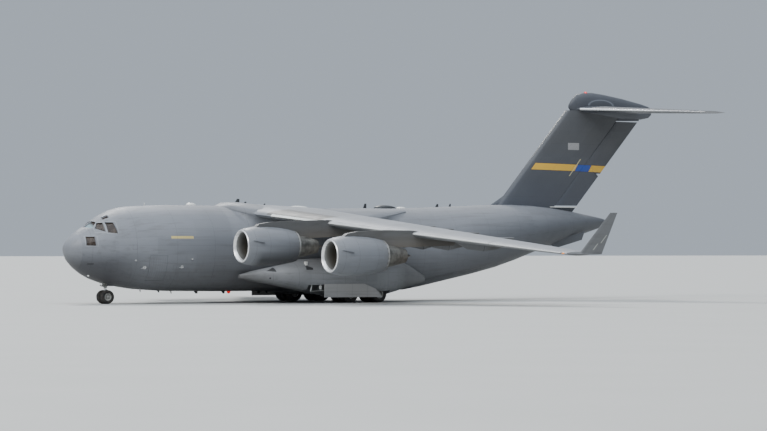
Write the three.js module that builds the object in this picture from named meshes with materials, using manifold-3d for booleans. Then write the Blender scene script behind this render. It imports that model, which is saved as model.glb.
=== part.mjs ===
// Four-jet military transport aircraft with a high wing and a T tail, as a half-size model.
// All sizes below are full-size millimetres: x runs aft from the nose tip, y to starboard
// and z up from the ground. The finished group is set to half size about its middle.
import * as THREE from "three";
import { mergeVertices } from "three/addons/utils/BufferGeometryUtils.js";
import Module from "manifold-3d";

const wasm = await Module();
wasm.setup();

const modelScale = 0.5;
const overallLength = 53040;

// Gap left between two fixed pieces, and round a piece that moves.
const seam = 0.8;
const moveGap = 16;

// Fuselage: skin with frames, seams between its barrels, and its section at each station.
const sides = 28;
const lowerRoundness = 2.5;
const wall = 100;
const radomeEnd = 950;
const forwardEnd = 12350;
const centreEnd = 28950;
const hollowStart = 1180;
const hollowEnd = 45200;
const fuselage = [
  { x: 0, bottom: 3960, middle: 4050, top: 4140, half: 90 },
  { x: 110, bottom: 3560, middle: 4040, top: 4380, half: 430 },
  { x: 360, bottom: 3080, middle: 4030, top: 4730, half: 820 },
  { x: 840, bottom: 2600, middle: 4010, top: 5180, half: 1240 },
  { x: 1500, bottom: 2130, middle: 4000, top: 5620, half: 1630 },
  { x: 2100, bottom: 1830, middle: 4010, top: 6020, half: 1930 },
  { x: 2800, bottom: 1600, middle: 4040, top: 6500, half: 2230 },
  { x: 3600, bottom: 1400, middle: 4080, top: 6870, half: 2510 },
  { x: 4500, bottom: 1220, middle: 4120, top: 7110, half: 2770 },
  { x: 5700, bottom: 1050, middle: 4180, top: 7230, half: 3030 },
  { x: 8000, bottom: 900, middle: 4250, top: 7315, half: 3350 },
  { x: 12100, bottom: 850, middle: 4290, top: 7310, half: 3430 },
  { x: 20500, bottom: 850, middle: 4290, top: 7060, half: 3430 },
  { x: 28600, bottom: 850, middle: 4290, top: 7230, half: 3430 },
  { x: 30200, bottom: 1120, middle: 4380, top: 7290, half: 3420 },
  { x: 32300, bottom: 1540, middle: 4600, top: 7370, half: 3400 },
  { x: 34500, bottom: 1980, middle: 4880, top: 7460, half: 3340 },
  { x: 36600, bottom: 2460, middle: 5160, top: 7550, half: 3200 },
  { x: 38700, bottom: 3070, middle: 5460, top: 7590, half: 2920 },
  { x: 40700, bottom: 3730, middle: 5740, top: 7540, half: 2520 },
  { x: 42700, bottom: 4270, middle: 5960, top: 7370, half: 2030 },
  { x: 44900, bottom: 4930, middle: 6140, top: 7080, half: 1370 },
  { x: 46800, bottom: 5480, middle: 6240, top: 6760, half: 760 },
  { x: 47900, bottom: 5800, middle: 6280, top: 6560, half: 380 },
  { x: 48490, bottom: 6080, middle: 6270, top: 6400, half: 130 },
];

// Wing: straight taper from the centreline to the tip rib.
const wingPanel = {
  root: { at: [12500, 0, 7030], chord: 11250, thick: 0.122, drop: 0.03 },
  tip: { at: [27087, 25150, 3690], chord: 2810, thick: 0.11, drop: 0 },
  up: [0, 0, 1],
};
const wingSpan = 25150;
const wingUpper = [0, 0.12, 0.25, 0.39, 0.49, 0.5, 0.44, 0.33, 0.17, 0.012];
const wingLower = [0, -0.1, -0.22, -0.36, -0.46, -0.46, -0.36, -0.22, -0.08, -0.012];
const evenUpper = [0, 0.15, 0.29, 0.41, 0.49, 0.48, 0.4, 0.3, 0.16, 0.02];
const evenLower = evenUpper.map((value) => -value);
const chordwise = [0, 0.012, 0.05, 0.14, 0.3, 0.45, 0.6, 0.72, 0.86, 1];
const hingeStation = 7;
const controlSurfaces = {
  inboardFlap: { inner: 5250, outer: 10130, pivotInner: 4210, pivotOuter: 3980, tracks: [6000, 9300] },
  outboardFlap: {
    inner: 10330,
    outer: 17150,
    pivotInner: 3920,
    pivotOuter: 3780,
    tracks: [10950, 13200, 16250],
  },
  aileron: { inner: 17350, outer: 24300 },
};
const trackHalfWidth = 230;
const trackShape = [
  { along: -2400, depth: 0.05, width: 0.25 },
  { along: -1300, depth: 0.8, width: 0.9 },
  { along: 0, depth: 1, width: 1 },
  { along: 1300, depth: 0.75, width: 0.85 },
  { along: 2700, depth: 0.12, width: 0.25 },
];

// Winglet: a tip cap on the wing's end rib and a blade leaning outward.
const tipCap = { at: [28000, 25330, 3680], chord: 1950, thick: 0.04, drop: 0 };
const wingletPanel = {
  root: { at: [28150, 25200, 3700], chord: 1950, thick: 0.1, drop: 0 },
  tip: { at: [30350, 25870, 6590], chord: 620, thick: 0.09, drop: 0 },
  up: [0, 0.97, -0.23],
};

// Fairing over the wing root, on the crown of the fuselage.
const rootFairing = [
  { x: 12400, bottom: 7000, middle: 7100, top: 7300, half: 500 },
  { x: 13200, bottom: 6600, middle: 6880, top: 7560, half: 1800 },
  { x: 14100, bottom: 6150, middle: 6550, top: 7590, half: 2900 },
  { x: 15300, bottom: 5850, middle: 6400, top: 7460, half: 3450 },
  { x: 18000, bottom: 5550, middle: 6250, top: 7330, half: 3560 },
  { x: 22500, bottom: 5500, middle: 6150, top: 7220, half: 3560 },
  { x: 25000, bottom: 5800, middle: 6350, top: 7200, half: 3300 },
  { x: 28300, bottom: 6700, middle: 6900, top: 7200, half: 1600 },
];

// Height of the crown over the wing box, as x and z.
const crownLine = [
  [12000, 7330],
  [13200, 7535],
  [14000, 7555],
  [15400, 7390],
  [19000, 7180],
  [21000, 7120],
  [29000, 7260],
];

// Engines: lip station, axis height and spanwise station of each.
const engines = [
  { name: "outer_port", lip: 14120, axis: 3530, y: -14300 },
  { name: "inner_port", lip: 10250, axis: 4230, y: -8200 },
  { name: "inner_starboard", lip: 10250, axis: 4230, y: 8200 },
  { name: "outer_starboard", lip: 14120, axis: 3530, y: 14300 },
];
const engineSegments = 20;
const cowlProfile = [
  [0, 1130], [40, 1190], [250, 1290], [900, 1410], [1900, 1440], [3000, 1380], [3800, 1260], [4400, 1130],
  [4400, 1090], [3300, 1220], [1700, 1060], [500, 985], [60, 1060],
];
const coreProfile = [
  [2300, 0], [2300, 600], [2900, 830], [4300, 880], [5200, 760], [6250, 520],
  [6250, 450], [6050, 320], [6850, 0],
];
const fanHub = [[620, 0], [760, 150], [1000, 310], [1240, 340], [1480, 360], [1480, 0]];
const fanBlade = {
  count: 18,
  front: 980,
  rear: 1240,
  foot: 300,
  footTwist: 0.1,
  tip: 970,
  tipTwist: 0.16,
  thick: 34,
};
const cowlStrake = {
  foot: [[150, 1150, 1.21], [1250, 1330, 1.41]],
  edge: [[450, 1400, 1.27], [1180, 1610, 1.4]],
  thick: 34,
};
const pylonHalfWidth = 230;

// Tail surfaces.
const finPanel = {
  root: { at: [37480, 0, 7250], chord: 7770, thick: 0.105, drop: 0 },
  tip: { at: [45010, 0, 16000], chord: 7940, thick: 0.095, drop: 0 },
  up: [0, 1, 0],
};
const finFillet = {
  root: { at: [36800, 0, 7350], chord: 5000, thick: 0.045, drop: 0 },
  tip: { at: [38450, 0, 8330], chord: 4000, thick: 0.08, drop: 0 },
  up: [0, 1, 0],
};
const finTop = 15300;
const rudderFoot = 7560;
const rudderFootGap = 120;
const rudderHead = 14480;
const rudders = {
  lower: { from: 6300, to: 11010 },
  upper: { from: 11090, to: 16500 },
};
const tailPanel = {
  root: { at: [45200, 0, 15430], chord: 6000, thick: 0.1, drop: 0 },
  tip: { at: [50900, 9905, 14900], chord: 2140, thick: 0.1, drop: 0 },
  up: [0, 0, 1],
};
const elevator = { inner: 1130, outer: 9480 };
const bullet = [
  { x: 44740, bottom: 15480, middle: 15600, top: 15740, half: 50 },
  { x: 45000, bottom: 15180, middle: 15700, top: 16130, half: 210 },
  { x: 45440, bottom: 14940, middle: 15740, top: 16590, half: 340 },
  { x: 46200, bottom: 14740, middle: 15740, top: 16770, half: 440 },
  { x: 47000, bottom: 14670, middle: 15700, top: 16790, half: 480 },
  { x: 48200, bottom: 14640, middle: 15600, top: 16660, half: 490 },
  { x: 50000, bottom: 14640, middle: 15500, top: 16380, half: 430 },
  { x: 51900, bottom: 14700, middle: 15400, top: 16000, half: 290 },
  { x: 52700, bottom: 14850, middle: 15380, top: 15790, half: 190 },
  { x: 52990, bottom: 15080, middle: 15400, top: 15640, half: 80 },
];

// Landing gear.
const noseGear = { x: 3350, radius: 508, width: 406, spacing: 330 };
const mainGear = { front: 21150, rear: 23650, radius: 635, width: 533, tracks: [3450, 4290, 5130] };
const strutTrack = 3870;
const axleRadius = 85;
const wheelSegments = 18;
const bay = { front: 17400, rear: 24500, inner: 3020, outer: 5480, roof: 2230, sill: 1360 };
const doorPlane = 5670;
const doorThickness = 79;
const hangingDoor = [[18650, 420], [18650, 1420], [22100, 1420], [23100, 1040], [23680, 420]];
const pod = [
  { x: 12700, y: 3350, middle: 2000, half: 130, below: 130, above: 130 },
  { x: 13600, y: 3580, middle: 2000, half: 560, below: 360, above: 390 },
  { x: 14900, y: 3780, middle: 2000, half: 1030, below: 560, above: 640 },
  { x: 16600, y: 3920, middle: 2000, half: 1440, below: 880, above: 980 },
  { x: 17400, y: 3980, middle: 2000, half: 1580, below: 1080, above: 1260 },
  { x: 19600, y: 4000, middle: 2000, half: 1680, below: 1500, above: 1380 },
  { x: 24300, y: 4000, middle: 2000, half: 1660, below: 1480, above: 1400 },
  { x: 25300, y: 3960, middle: 2050, half: 1580, below: 1280, above: 1300 },
  { x: 27000, y: 3560, middle: 1950, half: 1160, below: 780, above: 930 },
  { x: 29000, y: 2900, middle: 1730, half: 340, below: 260, above: 280 },
];

// Windows of the flight deck: x and z of the side panes between two distances from the
// middle, y and z of the windscreen, and x and y of the pane in the roof.
const sideWindows = [
  { outline: [[1960, 5520], [2570, 5270], [2590, 5950], [2250, 5930]], near: 560, far: 3000 },
  { outline: [[2690, 5230], [3380, 5150], [3210, 5970], [2700, 5980]], near: 900, far: 3400 },
  { outline: [[1180, 4280], [1830, 4260], [1800, 4930], [1230, 4930]], near: 900, far: 2400 },
];
const windscreen = [[60, 5620], [990, 5540], [690, 5990], [60, 6080]];
const roofWindow = [[2690, 620], [3130, 700], [3130, 1110], [2700, 960]];

// Doors and ramp.
const crewDoor = { front: 5580, rear: 6900, sill: 1720, head: 3560 };
const rampHalf = 2560;
const rampRear = 35000;
const rampRise = 0.155;
const floorTop = 1620;
const cargoDoor = { front: 35030, rear: 41100, frontHalf: 1950, rearHalf: 1250 };
const sideDoor = { front: 30100, rear: 31050, sill: 2050, head: 3950 };
const ventralStrake = { y: 1160, outline: [[41900, 4500], [42700, 4130], [45200, 4780], [45500, 5500]] };

const grey = (name, colour, roughness, metalness) =>
  new THREE.MeshStandardMaterial({ name, color: colour, roughness, metalness });
const paint = grey("airframe_grey", 0x6f7375, 0.55, 0.05);
const darkPaint = grey("tail_grey", 0x585e66, 0.55, 0.05);
const bareMetal = grey("bare_metal", 0xb9bcbe, 0.3, 0.9);
const hotMetal = grey("hot_metal", 0x5f554b, 0.45, 0.8);
const rubber = grey("rubber", 0x1c1c1d, 0.85, 0);
const glass = grey("glass", 0x1a2228, 0.1, 0);
const interior = grey("interior", 0x8a8d84, 0.7, 0);
const gearPaint = grey("gear_white", 0xc9cac6, 0.5, 0.1);

// Closed body from a three.js geometry.
function body(geometry) {
  geometry.deleteAttribute("normal");
  geometry.deleteAttribute("uv");
  const merged = mergeVertices(geometry, 0.01);
  const position = new Float32Array(merged.getAttribute("position").array);
  const corners = [];
  const index = merged.getIndex().array;
  for (let i = 0; i < index.length; i += 3) {
    const [a, b, c] = [index[i], index[i + 1], index[i + 2]];
    if (a !== b && b !== c && c !== a) {
      corners.push(a, b, c);
    }
  }
  let volume = 0;
  const p = (i) => new THREE.Vector3(position[3 * i], position[3 * i + 1], position[3 * i + 2]);
  const origin = p(0);
  for (let i = 0; i < corners.length; i += 3) {
    const [a, b, c] = [p(corners[i]), p(corners[i + 1]), p(corners[i + 2])].map((v) => v.sub(origin));
    volume += a.dot(b.cross(c));
  }
  if (volume < 0) {
    for (let i = 0; i < corners.length; i += 3) {
      [corners[i + 1], corners[i + 2]] = [corners[i + 2], corners[i + 1]];
    }
  }
  const mesh = new wasm.Mesh({ numProp: 3, vertProperties: position, triVerts: new Uint32Array(corners) });
  return new wasm.Manifold(mesh);
}

// Skin stretched over a row of closed section outlines, with both ends filled.
function skin(rings) {
  const count = rings[0].length;
  const index = [];
  for (let i = 0; i + 1 < rings.length; i += 1) {
    for (let j = 0; j < count; j += 1) {
      const a = i * count + j;
      const b = i * count + ((j + 1) % count);
      index.push(a, b, b + count, a, b + count, a + count);
    }
  }
  const cap = (ring, start, flip) => {
    const centre = new THREE.Vector3();
    const normal = new THREE.Vector3();
    ring.forEach((q, i) => {
      const next = ring[(i + 1) % count];
      normal.add(new THREE.Vector3(...q).cross(new THREE.Vector3(...next)));
      centre.add(new THREE.Vector3(...q));
    });
    const axis = normal.normalize();
    const side = new THREE.Vector3(1, 0.3, 0.2).cross(axis).normalize();
    const rise = axis.clone().cross(side);
    const corners = ring.map((q) => new THREE.Vector3(...q));
    const flat = corners.map((q) => new THREE.Vector2(side.dot(q), rise.dot(q)));
    for (const [a, b, c] of THREE.ShapeUtils.triangulateShape(flat, [])) {
      index.push(start + a, start + (flip ? b : c), start + (flip ? c : b));
    }
  };
  cap(rings[0], 0, false);
  cap(rings[rings.length - 1], (rings.length - 1) * count, true);
  const geometry = new THREE.BufferGeometry();
  geometry.setAttribute("position", new THREE.Float32BufferAttribute(rings.flat(2), 3));
  geometry.setIndex(index);
  return body(geometry);
}

const block = (x0, x1, y0, y1, z0, z1) =>
  body(new THREE.BoxGeometry(x1 - x0, y1 - y0, z1 - z0).translate((x0 + x1) / 2, (y0 + y1) / 2, (z0 + z1) / 2));
const rod = (from, to, radius, segments = 14) => {
  const start = new THREE.Vector3(...from);
  const along = new THREE.Vector3(...to).sub(start);
  const [foot, head] = [radius].flat().concat(radius);
  const geometry = new THREE.CylinderGeometry(head, foot, along.length(), segments);
  geometry.translate(0, along.length() / 2, 0);
  const turn = new THREE.Quaternion().setFromUnitVectors(new THREE.Vector3(0, 1, 0), along.clone().normalize());
  return body(geometry.applyQuaternion(turn).translate(...from));
};
// Plate cut to an outline seen from the side, from above or from the front.
const sidePlate = (outline, y0, y1) => skin([y0, y1].map((y) => outline.map(([x, z]) => [x, y, z])));
const topPlate = (outline, z0, z1) => skin([z0, z1].map((z) => outline.map(([x, y]) => [x, y, z])));
const frontPlate = (outline, x0, x1) => skin([x0, x1].map((x) => outline.map(([y, z]) => [x, y, z])));
// Turned body about an axis along the aircraft, or across it.
const turned = (profile, segments) =>
  new THREE.LatheGeometry(profile.map(([along, radius]) => new THREE.Vector2(radius, along)), segments);
const alongX = (profile, segments, x, y, z) =>
  body(turned(profile, segments).rotateZ(-Math.PI / 2).translate(x, y, z));
const alongY = (profile, segments, x, y, z) => body(turned(profile, segments).translate(x, y, z));

const lerp = (a, b, t) => a + (b - a) * t;
const joined = (shapes) => shapes.reduce((whole, shape) => whole.add(shape));

// Fuselage-like section: round above its widest line, squarer below it.
function hoop(row, grow = 0, lower = 2) {
  const ring = [];
  for (let i = 0; i < sides; i += 1) {
    const angle = (2 * Math.PI * (i + 0.5)) / sides;
    const across = Math.sin(angle);
    const up = Math.cos(angle);
    const power = up < 0 ? 2 / lower : 1;
    const y = (row.half + grow) * Math.sign(across) * Math.abs(across) ** power;
    const above = (row.top - row.middle + grow) * up;
    const below = -(row.middle - row.bottom + grow) * Math.abs(up) ** power;
    ring.push([row.x, y, row.middle + (up > 0 ? above : below)]);
  }
  return ring;
}
const squareness = (row) => 2 + (lowerRoundness - 2) * Math.min(1, Math.max(0, (row.half - 1500) / 1800));
const fuselageBody = (grow) => skin(fuselage.map((row) => hoop(row, grow, squareness(row))));
function fuselageRow(x) {
  const i = fuselage.findIndex((row) => row.x > x);
  const [a, b] = [fuselage[i - 1], fuselage[i]];
  const t = (x - a.x) / (b.x - a.x);
  const row = { x };
  for (const key of ["bottom", "middle", "top", "half"]) {
    row[key] = lerp(a[key], b[key], t);
  }
  return row;
}
function hollowBody(inset) {
  const inside = fuselage.filter((row) => row.x > hollowStart && row.x < hollowEnd);
  const rows = [fuselageRow(hollowStart), ...inside, fuselageRow(hollowEnd)];
  return skin(rows.map((row) => hoop(row, -inset, squareness(row))));
}

// Aerofoil section of a tapered panel at a given fraction of its span.
function section(panel, t) {
  const { root, tip } = panel;
  return {
    at: root.at.map((value, i) => lerp(value, tip.at[i], t)),
    chord: lerp(root.chord, tip.chord, t),
    thick: lerp(root.chord * root.thick, tip.chord * tip.thick, t),
    drop: lerp(root.chord * root.drop, tip.chord * tip.drop, t),
  };
}
function foilPoint(panel, t, station, height, grow = 0) {
  const s = section(panel, t);
  const lift = height * (s.thick + 4 * grow);
  const x = s.at[0] - 2 * grow + chordwise[station] * (s.chord + 4 * grow);
  const sink = panel.up[2] === 1 ? s.drop * chordwise[station] : 0;
  return [x, s.at[1] + panel.up[1] * lift, s.at[2] + panel.up[2] * lift - sink];
}
function foil(panel, t, upper, lower, grow = 0) {
  const top = chordwise.map((_, i) => foilPoint(panel, t, i, upper[i], grow));
  const under = chordwise.map((_, i) => foilPoint(panel, t, i, lower[i], grow));
  return [...top, ...under.slice(1).reverse()];
}
// Rear part of the aerofoil with a round nose about its hinge.
function rearFoil(panel, t, upper, lower) {
  const top = foilPoint(panel, t, hingeStation, upper[hingeStation]);
  const under = foilPoint(panel, t, hingeStation, lower[hingeStation]);
  const middle = top.map((value, i) => (value + under[i]) / 2);
  const radius = Math.hypot(...top.map((value, i) => (value - under[i]) / 2));
  const nose = [];
  for (let i = 1; i < 5; i += 1) {
    const angle = (Math.PI * i) / 5;
    const up = Math.cos(angle);
    const forward = Math.sin(angle) * radius;
    nose.push([middle[0] - forward, ...[1, 2].map((k) => middle[k] - (top[k] - middle[k]) * up)]);
  }
  const ring = [under, ...nose, top];
  for (let i = hingeStation + 1; i < chordwise.length; i += 1) {
    ring.push(foilPoint(panel, t, i, upper[i]));
  }
  for (let i = chordwise.length - 1; i > hingeStation; i -= 1) {
    ring.push(foilPoint(panel, t, i, lower[i]));
  }
  return { ring, middle, radius };
}
// Box squared to a hinge line: span limits, start behind the line, and reach.
function hingeBox(from, to, start, reach, before, after, tall) {
  const origin = new THREE.Vector3(...from);
  const along = new THREE.Vector3(...to).sub(origin);
  const length = along.length();
  along.normalize();
  const aft = new THREE.Vector3(1, 0, 0);
  aft.addScaledVector(along, -aft.dot(along)).normalize();
  const third = along.clone().cross(aft);
  const geometry = new THREE.BoxGeometry(length - before - after, reach, 2 * tall);
  geometry.translate((length - before - after) / 2 + before, start + reach / 2, 0);
  geometry.applyMatrix4(new THREE.Matrix4().makeBasis(along, aft, third));
  return body(geometry.translate(...from));
}
// Room behind a fixed panel for a surface that turns about the middle of its round nose.
const noseClearance = 1.085;
function hingeRoom(low, high, tall) {
  const start = new THREE.Vector3(...low.middle);
  const end = new THREE.Vector3(...high.middle);
  const along = end.clone().sub(start).normalize().multiplyScalar(moveGap + 12);
  const radii = [low, high].map((at) => noseClearance * at.radius + moveGap);
  const nose = rod([...start.sub(along)], [...end.add(along)], radii, 12);
  const box = hingeBox(low.middle, high.middle, 0, 6000, -moveGap - 12, -moveGap - 12, tall);
  return box.add(nose);
}
const mirrorY = (panel, side) => ({
  root: { ...panel.root, at: [panel.root.at[0], side * panel.root.at[1], panel.root.at[2]] },
  tip: { ...panel.tip, at: [panel.tip.at[0], side * panel.tip.at[1], panel.tip.at[2]] },
  up: [panel.up[0], side * panel.up[1], panel.up[2]],
});

const aircraft = new THREE.Group();
aircraft.name = "military_transport_aircraft";
function place(name, shape, material) {
  const mesh = shape.getMesh();
  const geometry = new THREE.BufferGeometry();
  const points = new Float32Array((mesh.vertProperties.length / mesh.numProp) * 3);
  for (let i = 0; i < points.length / 3; i += 1) {
    points.set(mesh.vertProperties.subarray(i * mesh.numProp, i * mesh.numProp + 3), 3 * i);
  }
  geometry.setAttribute("position", new THREE.Float32BufferAttribute(points, 3));
  geometry.setIndex(Array.from(mesh.triVerts));
  geometry.computeVertexNormals();
  const part = new THREE.Mesh(geometry, material);
  part.name = name;
  aircraft.add(part);
}

// Fuselage barrels, hollow from the radome bulkhead to the tail cone.
const outer = fuselageBody(0);
const clearOfFuselage = fuselageBody(seam);
const hollow = hollowBody(wall);
const shell = outer.subtract(hollow);
const slice = (from, to) => block(from, to, -9000, 9000, -1000, 20000);
place("radome", outer.intersect(slice(-10, radomeEnd - seam)), darkPaint);

// Windows of the flight deck, cut from the side, from the front and from above.
const windows = [];
for (const side of [-1, 1]) {
  for (const { outline, near, far } of sideWindows) {
    windows.push(sidePlate(outline, side < 0 ? -far : near, side < 0 ? -near : far));
  }
  windows.push(frontPlate(windscreen.map(([y, z]) => [side * y, z]), 900, 2330));
  windows.push(topPlate(roofWindow.map(([x, y]) => [x, side * y]), 5900, 7000));
}
const windowOpenings = joined(windows);

// Crew door in the port side, hinged along its sill.
const doorBlock = (gap) =>
  block(crewDoor.front - gap, crewDoor.rear + gap, -4000, -1500, crewDoor.sill - gap, crewDoor.head + gap);
const noseBay = block(noseGear.x - 480, noseGear.x + 480, -300, 300, 1000, 2100);
place(
  "forward_fuselage",
  shell
    .intersect(slice(radomeEnd, forwardEnd - seam))
    .subtract(windowOpenings)
    .subtract(doorBlock(moveGap))
    .subtract(noseBay),
  paint,
);
place("crew_door", shell.intersect(doorBlock(0)), paint);

// Glass behind the window openings, one curved shell.
const glassOuter = hollowBody(wall + seam);
const glassInner = hollowBody(wall + 40);
const glassZone = block(1185, 3760, -2600, 2600, 4160, 6900);
place("flight_deck_glazing", glassOuter.subtract(glassInner).intersect(glassZone), glass);

// Flight deck: floor, instrument panel, pedestal and four seats.
const deckZone = hollowBody(wall + 60);
const deckParts = [block(1500, 6900, -2900, 2900, 3980, 4080), block(1900, 2150, -1250, 1250, 4070, 5150)];
deckParts.push(block(2140, 3000, -180, 180, 4070, 4750));
for (const side of [-1, 1]) {
  for (const [x, y] of [[2850, 620], [4300, 700]]) {
    deckParts.push(block(x, x + 500, side * y - 250, side * y + 250, 4070, 4600));
    deckParts.push(block(x + 500, x + 620, side * y - 250, side * y + 250, 4400, 5500));
  }
}
place("flight_deck", joined(deckParts).intersect(deckZone), interior);

// Wing halves meet on the centreline and pass through the crown of the fuselage.
const wingSolid = (side, grow) => {
  const panel = mirrorY(wingPanel, side);
  const inner = seam / 2 / wingSpan;
  return skin([foil(panel, inner, wingUpper, wingLower, grow), foil(panel, 1, wingUpper, wingLower, grow)]);
};
const wingClear = joined([-1, 1].map((side) => {
  const panel = mirrorY(wingPanel, side);
  return skin([foil(panel, -0.001, wingUpper, wingLower, seam), foil(panel, 0.99, wingUpper, wingLower, seam)]);
}));
const podSolid = (side, grow) =>
  skin(pod.map((row) => {
    const ring = [];
    const steps = 20;
    for (let i = 0; i < steps; i += 1) {
      const angle = (2 * Math.PI * (i + 0.5)) / steps;
      const across = Math.cos(angle);
      const up = Math.sin(angle);
      const power = up < 0 ? 0.5 : 0.9;
      ring.push([
        row.x,
        side * (row.y + (row.half + grow) * Math.sign(across) * Math.abs(across) ** power),
        row.middle + (up < 0 ? row.below + grow : row.above + grow) * Math.sign(up) * Math.abs(up) ** power,
      ]);
    }
    return ring;
  }));

place("centre_fuselage", shell.intersect(slice(forwardEnd, centreEnd - seam)).subtract(wingClear), paint);

// Aft fuselage with the ramp and cargo door openings, paratroop doors and two strakes.
const rampTop = (x) => floorTop + rampRise * (x - centreEnd);
const rampBlock = (gap, extra) =>
  sidePlate(
    [
      [centreEnd + 30 - gap, 200],
      [rampRear + 950 + gap, 200],
      [rampRear - 0.5 * (rampTop(rampRear) - 2100) + gap, rampTop(rampRear) + extra],
      [centreEnd + 30 - gap, rampTop(centreEnd) + extra],
    ],
    -rampHalf - gap,
    rampHalf + gap,
  );
const cargoDoorBlock = (gap) => {
  const half = [cargoDoor.frontHalf + gap, cargoDoor.rearHalf + gap];
  const plan = [
    [cargoDoor.front - 900 - gap, -half[0]],
    [cargoDoor.rear + gap, -half[1]],
    [cargoDoor.rear + gap, half[1]],
    [cargoDoor.front - 900 - gap, half[0]],
  ];
  const slant = sidePlate(
    [
      [cargoDoor.front + 1050 - gap, 0],
      [cargoDoor.front - 1450 - gap, 5000],
      [cargoDoor.rear + gap, 5000],
      [cargoDoor.rear + gap, 0],
    ],
    -3000,
    3000,
  );
  return topPlate(plan, 0, 4900).intersect(slant);
};
const sideDoorBlock = (side, gap) => {
  const [near, far] = side < 0 ? [-4000, -2000] : [2000, 4000];
  return block(sideDoor.front - gap, sideDoor.rear + gap, near, far, sideDoor.sill - gap, sideDoor.head + gap);
};
const strakes = [-1, 1].map((side) =>
  sidePlate(ventralStrake.outline, side * ventralStrake.y - 40, side * ventralStrake.y + 40).subtract(hollow),
);
place(
  "aft_fuselage",
  joined([shell.intersect(slice(centreEnd, 60000)), ...strakes])
    .subtract(rampBlock(moveGap, moveGap))
    .subtract(cargoDoorBlock(moveGap))
    .subtract(sideDoorBlock(-1, seam))
    .subtract(sideDoorBlock(1, seam)),
  paint,
);
place("cargo_ramp", outer.intersect(rampBlock(0, 0)), paint);
place("cargo_door", shell.intersect(cargoDoorBlock(0)), paint);
place("paratroop_door_port", shell.intersect(sideDoorBlock(-1, 0)), paint);
place("paratroop_door_starboard", shell.intersect(sideDoorBlock(1, 0)), paint);

// Cargo floor on three keel beams.
const floorZone = hollowBody(wall + seam);
const floorParts = [block(7600, centreEnd - 20, -3000, 3000, floorTop - 160, floorTop)];
for (const y of [-1300, 0, 1300]) {
  floorParts.push(block(7600, centreEnd - 20, y - 60, y + 60, 900, floorTop - 100));
}
place("cargo_floor", joined(floorParts).intersect(floorZone), interior);

// Fairing over the wing root. Nothing of it or of the wing box stands over the crown.
const overCrown = sidePlate([...crownLine, [29000, 9500], [12000, 9500]], -4000, 4000);
place(
  "wing_root_fairing",
  skin(rootFairing.map((row) => hoop(row, 0, 2.2)))
    .subtract(clearOfFuselage)
    .subtract(wingClear)
    .subtract(overCrown),
  paint,
);

// Wings with their flap tracks, flaps, ailerons and winglets.
for (const side of [-1, 1]) {
  const label = side < 0 ? "port" : "starboard";
  const panel = mirrorY(wingPanel, side);
  let wing = wingSolid(side, 0).subtract(overCrown);
  for (const [kind, surface] of Object.entries(controlSurfaces)) {
    const ends = [surface.inner, surface.outer].map((y) => y / wingSpan);
    const [inner, outerEnd] = ends.map((t) => rearFoil(panel, t, wingUpper, wingLower));
    const line = (end, z) => [end.middle[0] - 1.07 * end.radius - moveGap - 10, end.middle[1], z];
    const from = line(inner, surface.pivotInner ?? inner.middle[2]);
    const to = line(outerEnd, surface.pivotOuter ?? outerEnd.middle[2]);
    wing = wing.subtract(hingeBox(from, to, 0, 6000, -moveGap - 12, -moveGap - 12, 4000));
    const full = [ends[0] - 0.08, ends[1] + 0.08].map((t) => rearFoil(panel, t, wingUpper, wingLower).ring);
    let piece = skin(full).intersect(hingeBox(from, to, moveGap, 6000, 0, 0, 4000));
    for (const y of surface.tracks ?? []) {
      const t = (y - surface.inner) / (surface.outer - surface.inner);
      const pivot = from.map((value, i) => lerp(value, to[i], t));
      const under = foilPoint(panel, y / wingSpan, 5, 0)[2];
      const canoe = skin(trackShape.map((row) => {
        const ring = [];
        const bottom = lerp(under - 250, pivot[2], row.depth);
        for (let i = 0; i < 10; i += 1) {
          const angle = (2 * Math.PI * (i + 0.5)) / 10;
          const down = Math.cos(angle) < 0 ? bottom - under : 60;
          ring.push([
            pivot[0] + row.along,
            pivot[1] + trackHalfWidth * row.width * Math.sin(angle),
            under + down * Math.abs(Math.cos(angle)),
          ]);
        }
        return ring;
      }));
      wing = wing.add(canoe.subtract(hingeBox(from, to, -moveGap, 6000, -3000, -3000, 4000)));
      piece = piece.add(canoe.intersect(hingeBox(from, to, moveGap, 6000, -3000, -3000, 4000)));
    }
    const names = { inboardFlap: "flap_inboard", outboardFlap: "flap_outboard", aileron: "aileron" };
    place(`${names[kind]}_${label}`, piece, paint);
  }
  place(`wing_${label}`, wing, paint);
  const tipRib = foil(panel, 1 + seam / wingSpan, wingUpper, wingLower);
  const capEnd = foil(mirrorY({ ...wingPanel, tip: tipCap }, side), 1, wingUpper, wingLower);
  const panelOfBlade = mirrorY(wingletPanel, side);
  const blade = skin([-0.02, 1].map((t) => foil(panelOfBlade, t, evenUpper, evenLower)));
  const wingBox = block(20000, 33000, -wingSpan - seam / 2, wingSpan + seam / 2, 0, 9000);
  place(`winglet_${label}`, skin([tipRib, capEnd]).add(blade).subtract(wingBox), paint);
}

// Thin radial plate: its inner and outer edges run from a front to a rear point, each given
// as the distance behind the lip, the radius and the turn about the engine's axis.
const radialPlate = ([lip, y, axis], edges, thick) => {
  const corner = ([along, radius, turn], shift) => {
    const angle = turn + (shift * thick) / radius;
    return [lip + along, y + radius * Math.sin(angle), axis + radius * Math.cos(angle)];
  };
  return skin(edges.map(([front, rear]) => [
    corner(front, -0.5),
    corner(front, 0.5),
    corner(rear, 0.5),
    corner(rear, -0.5),
  ]));
};

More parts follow.
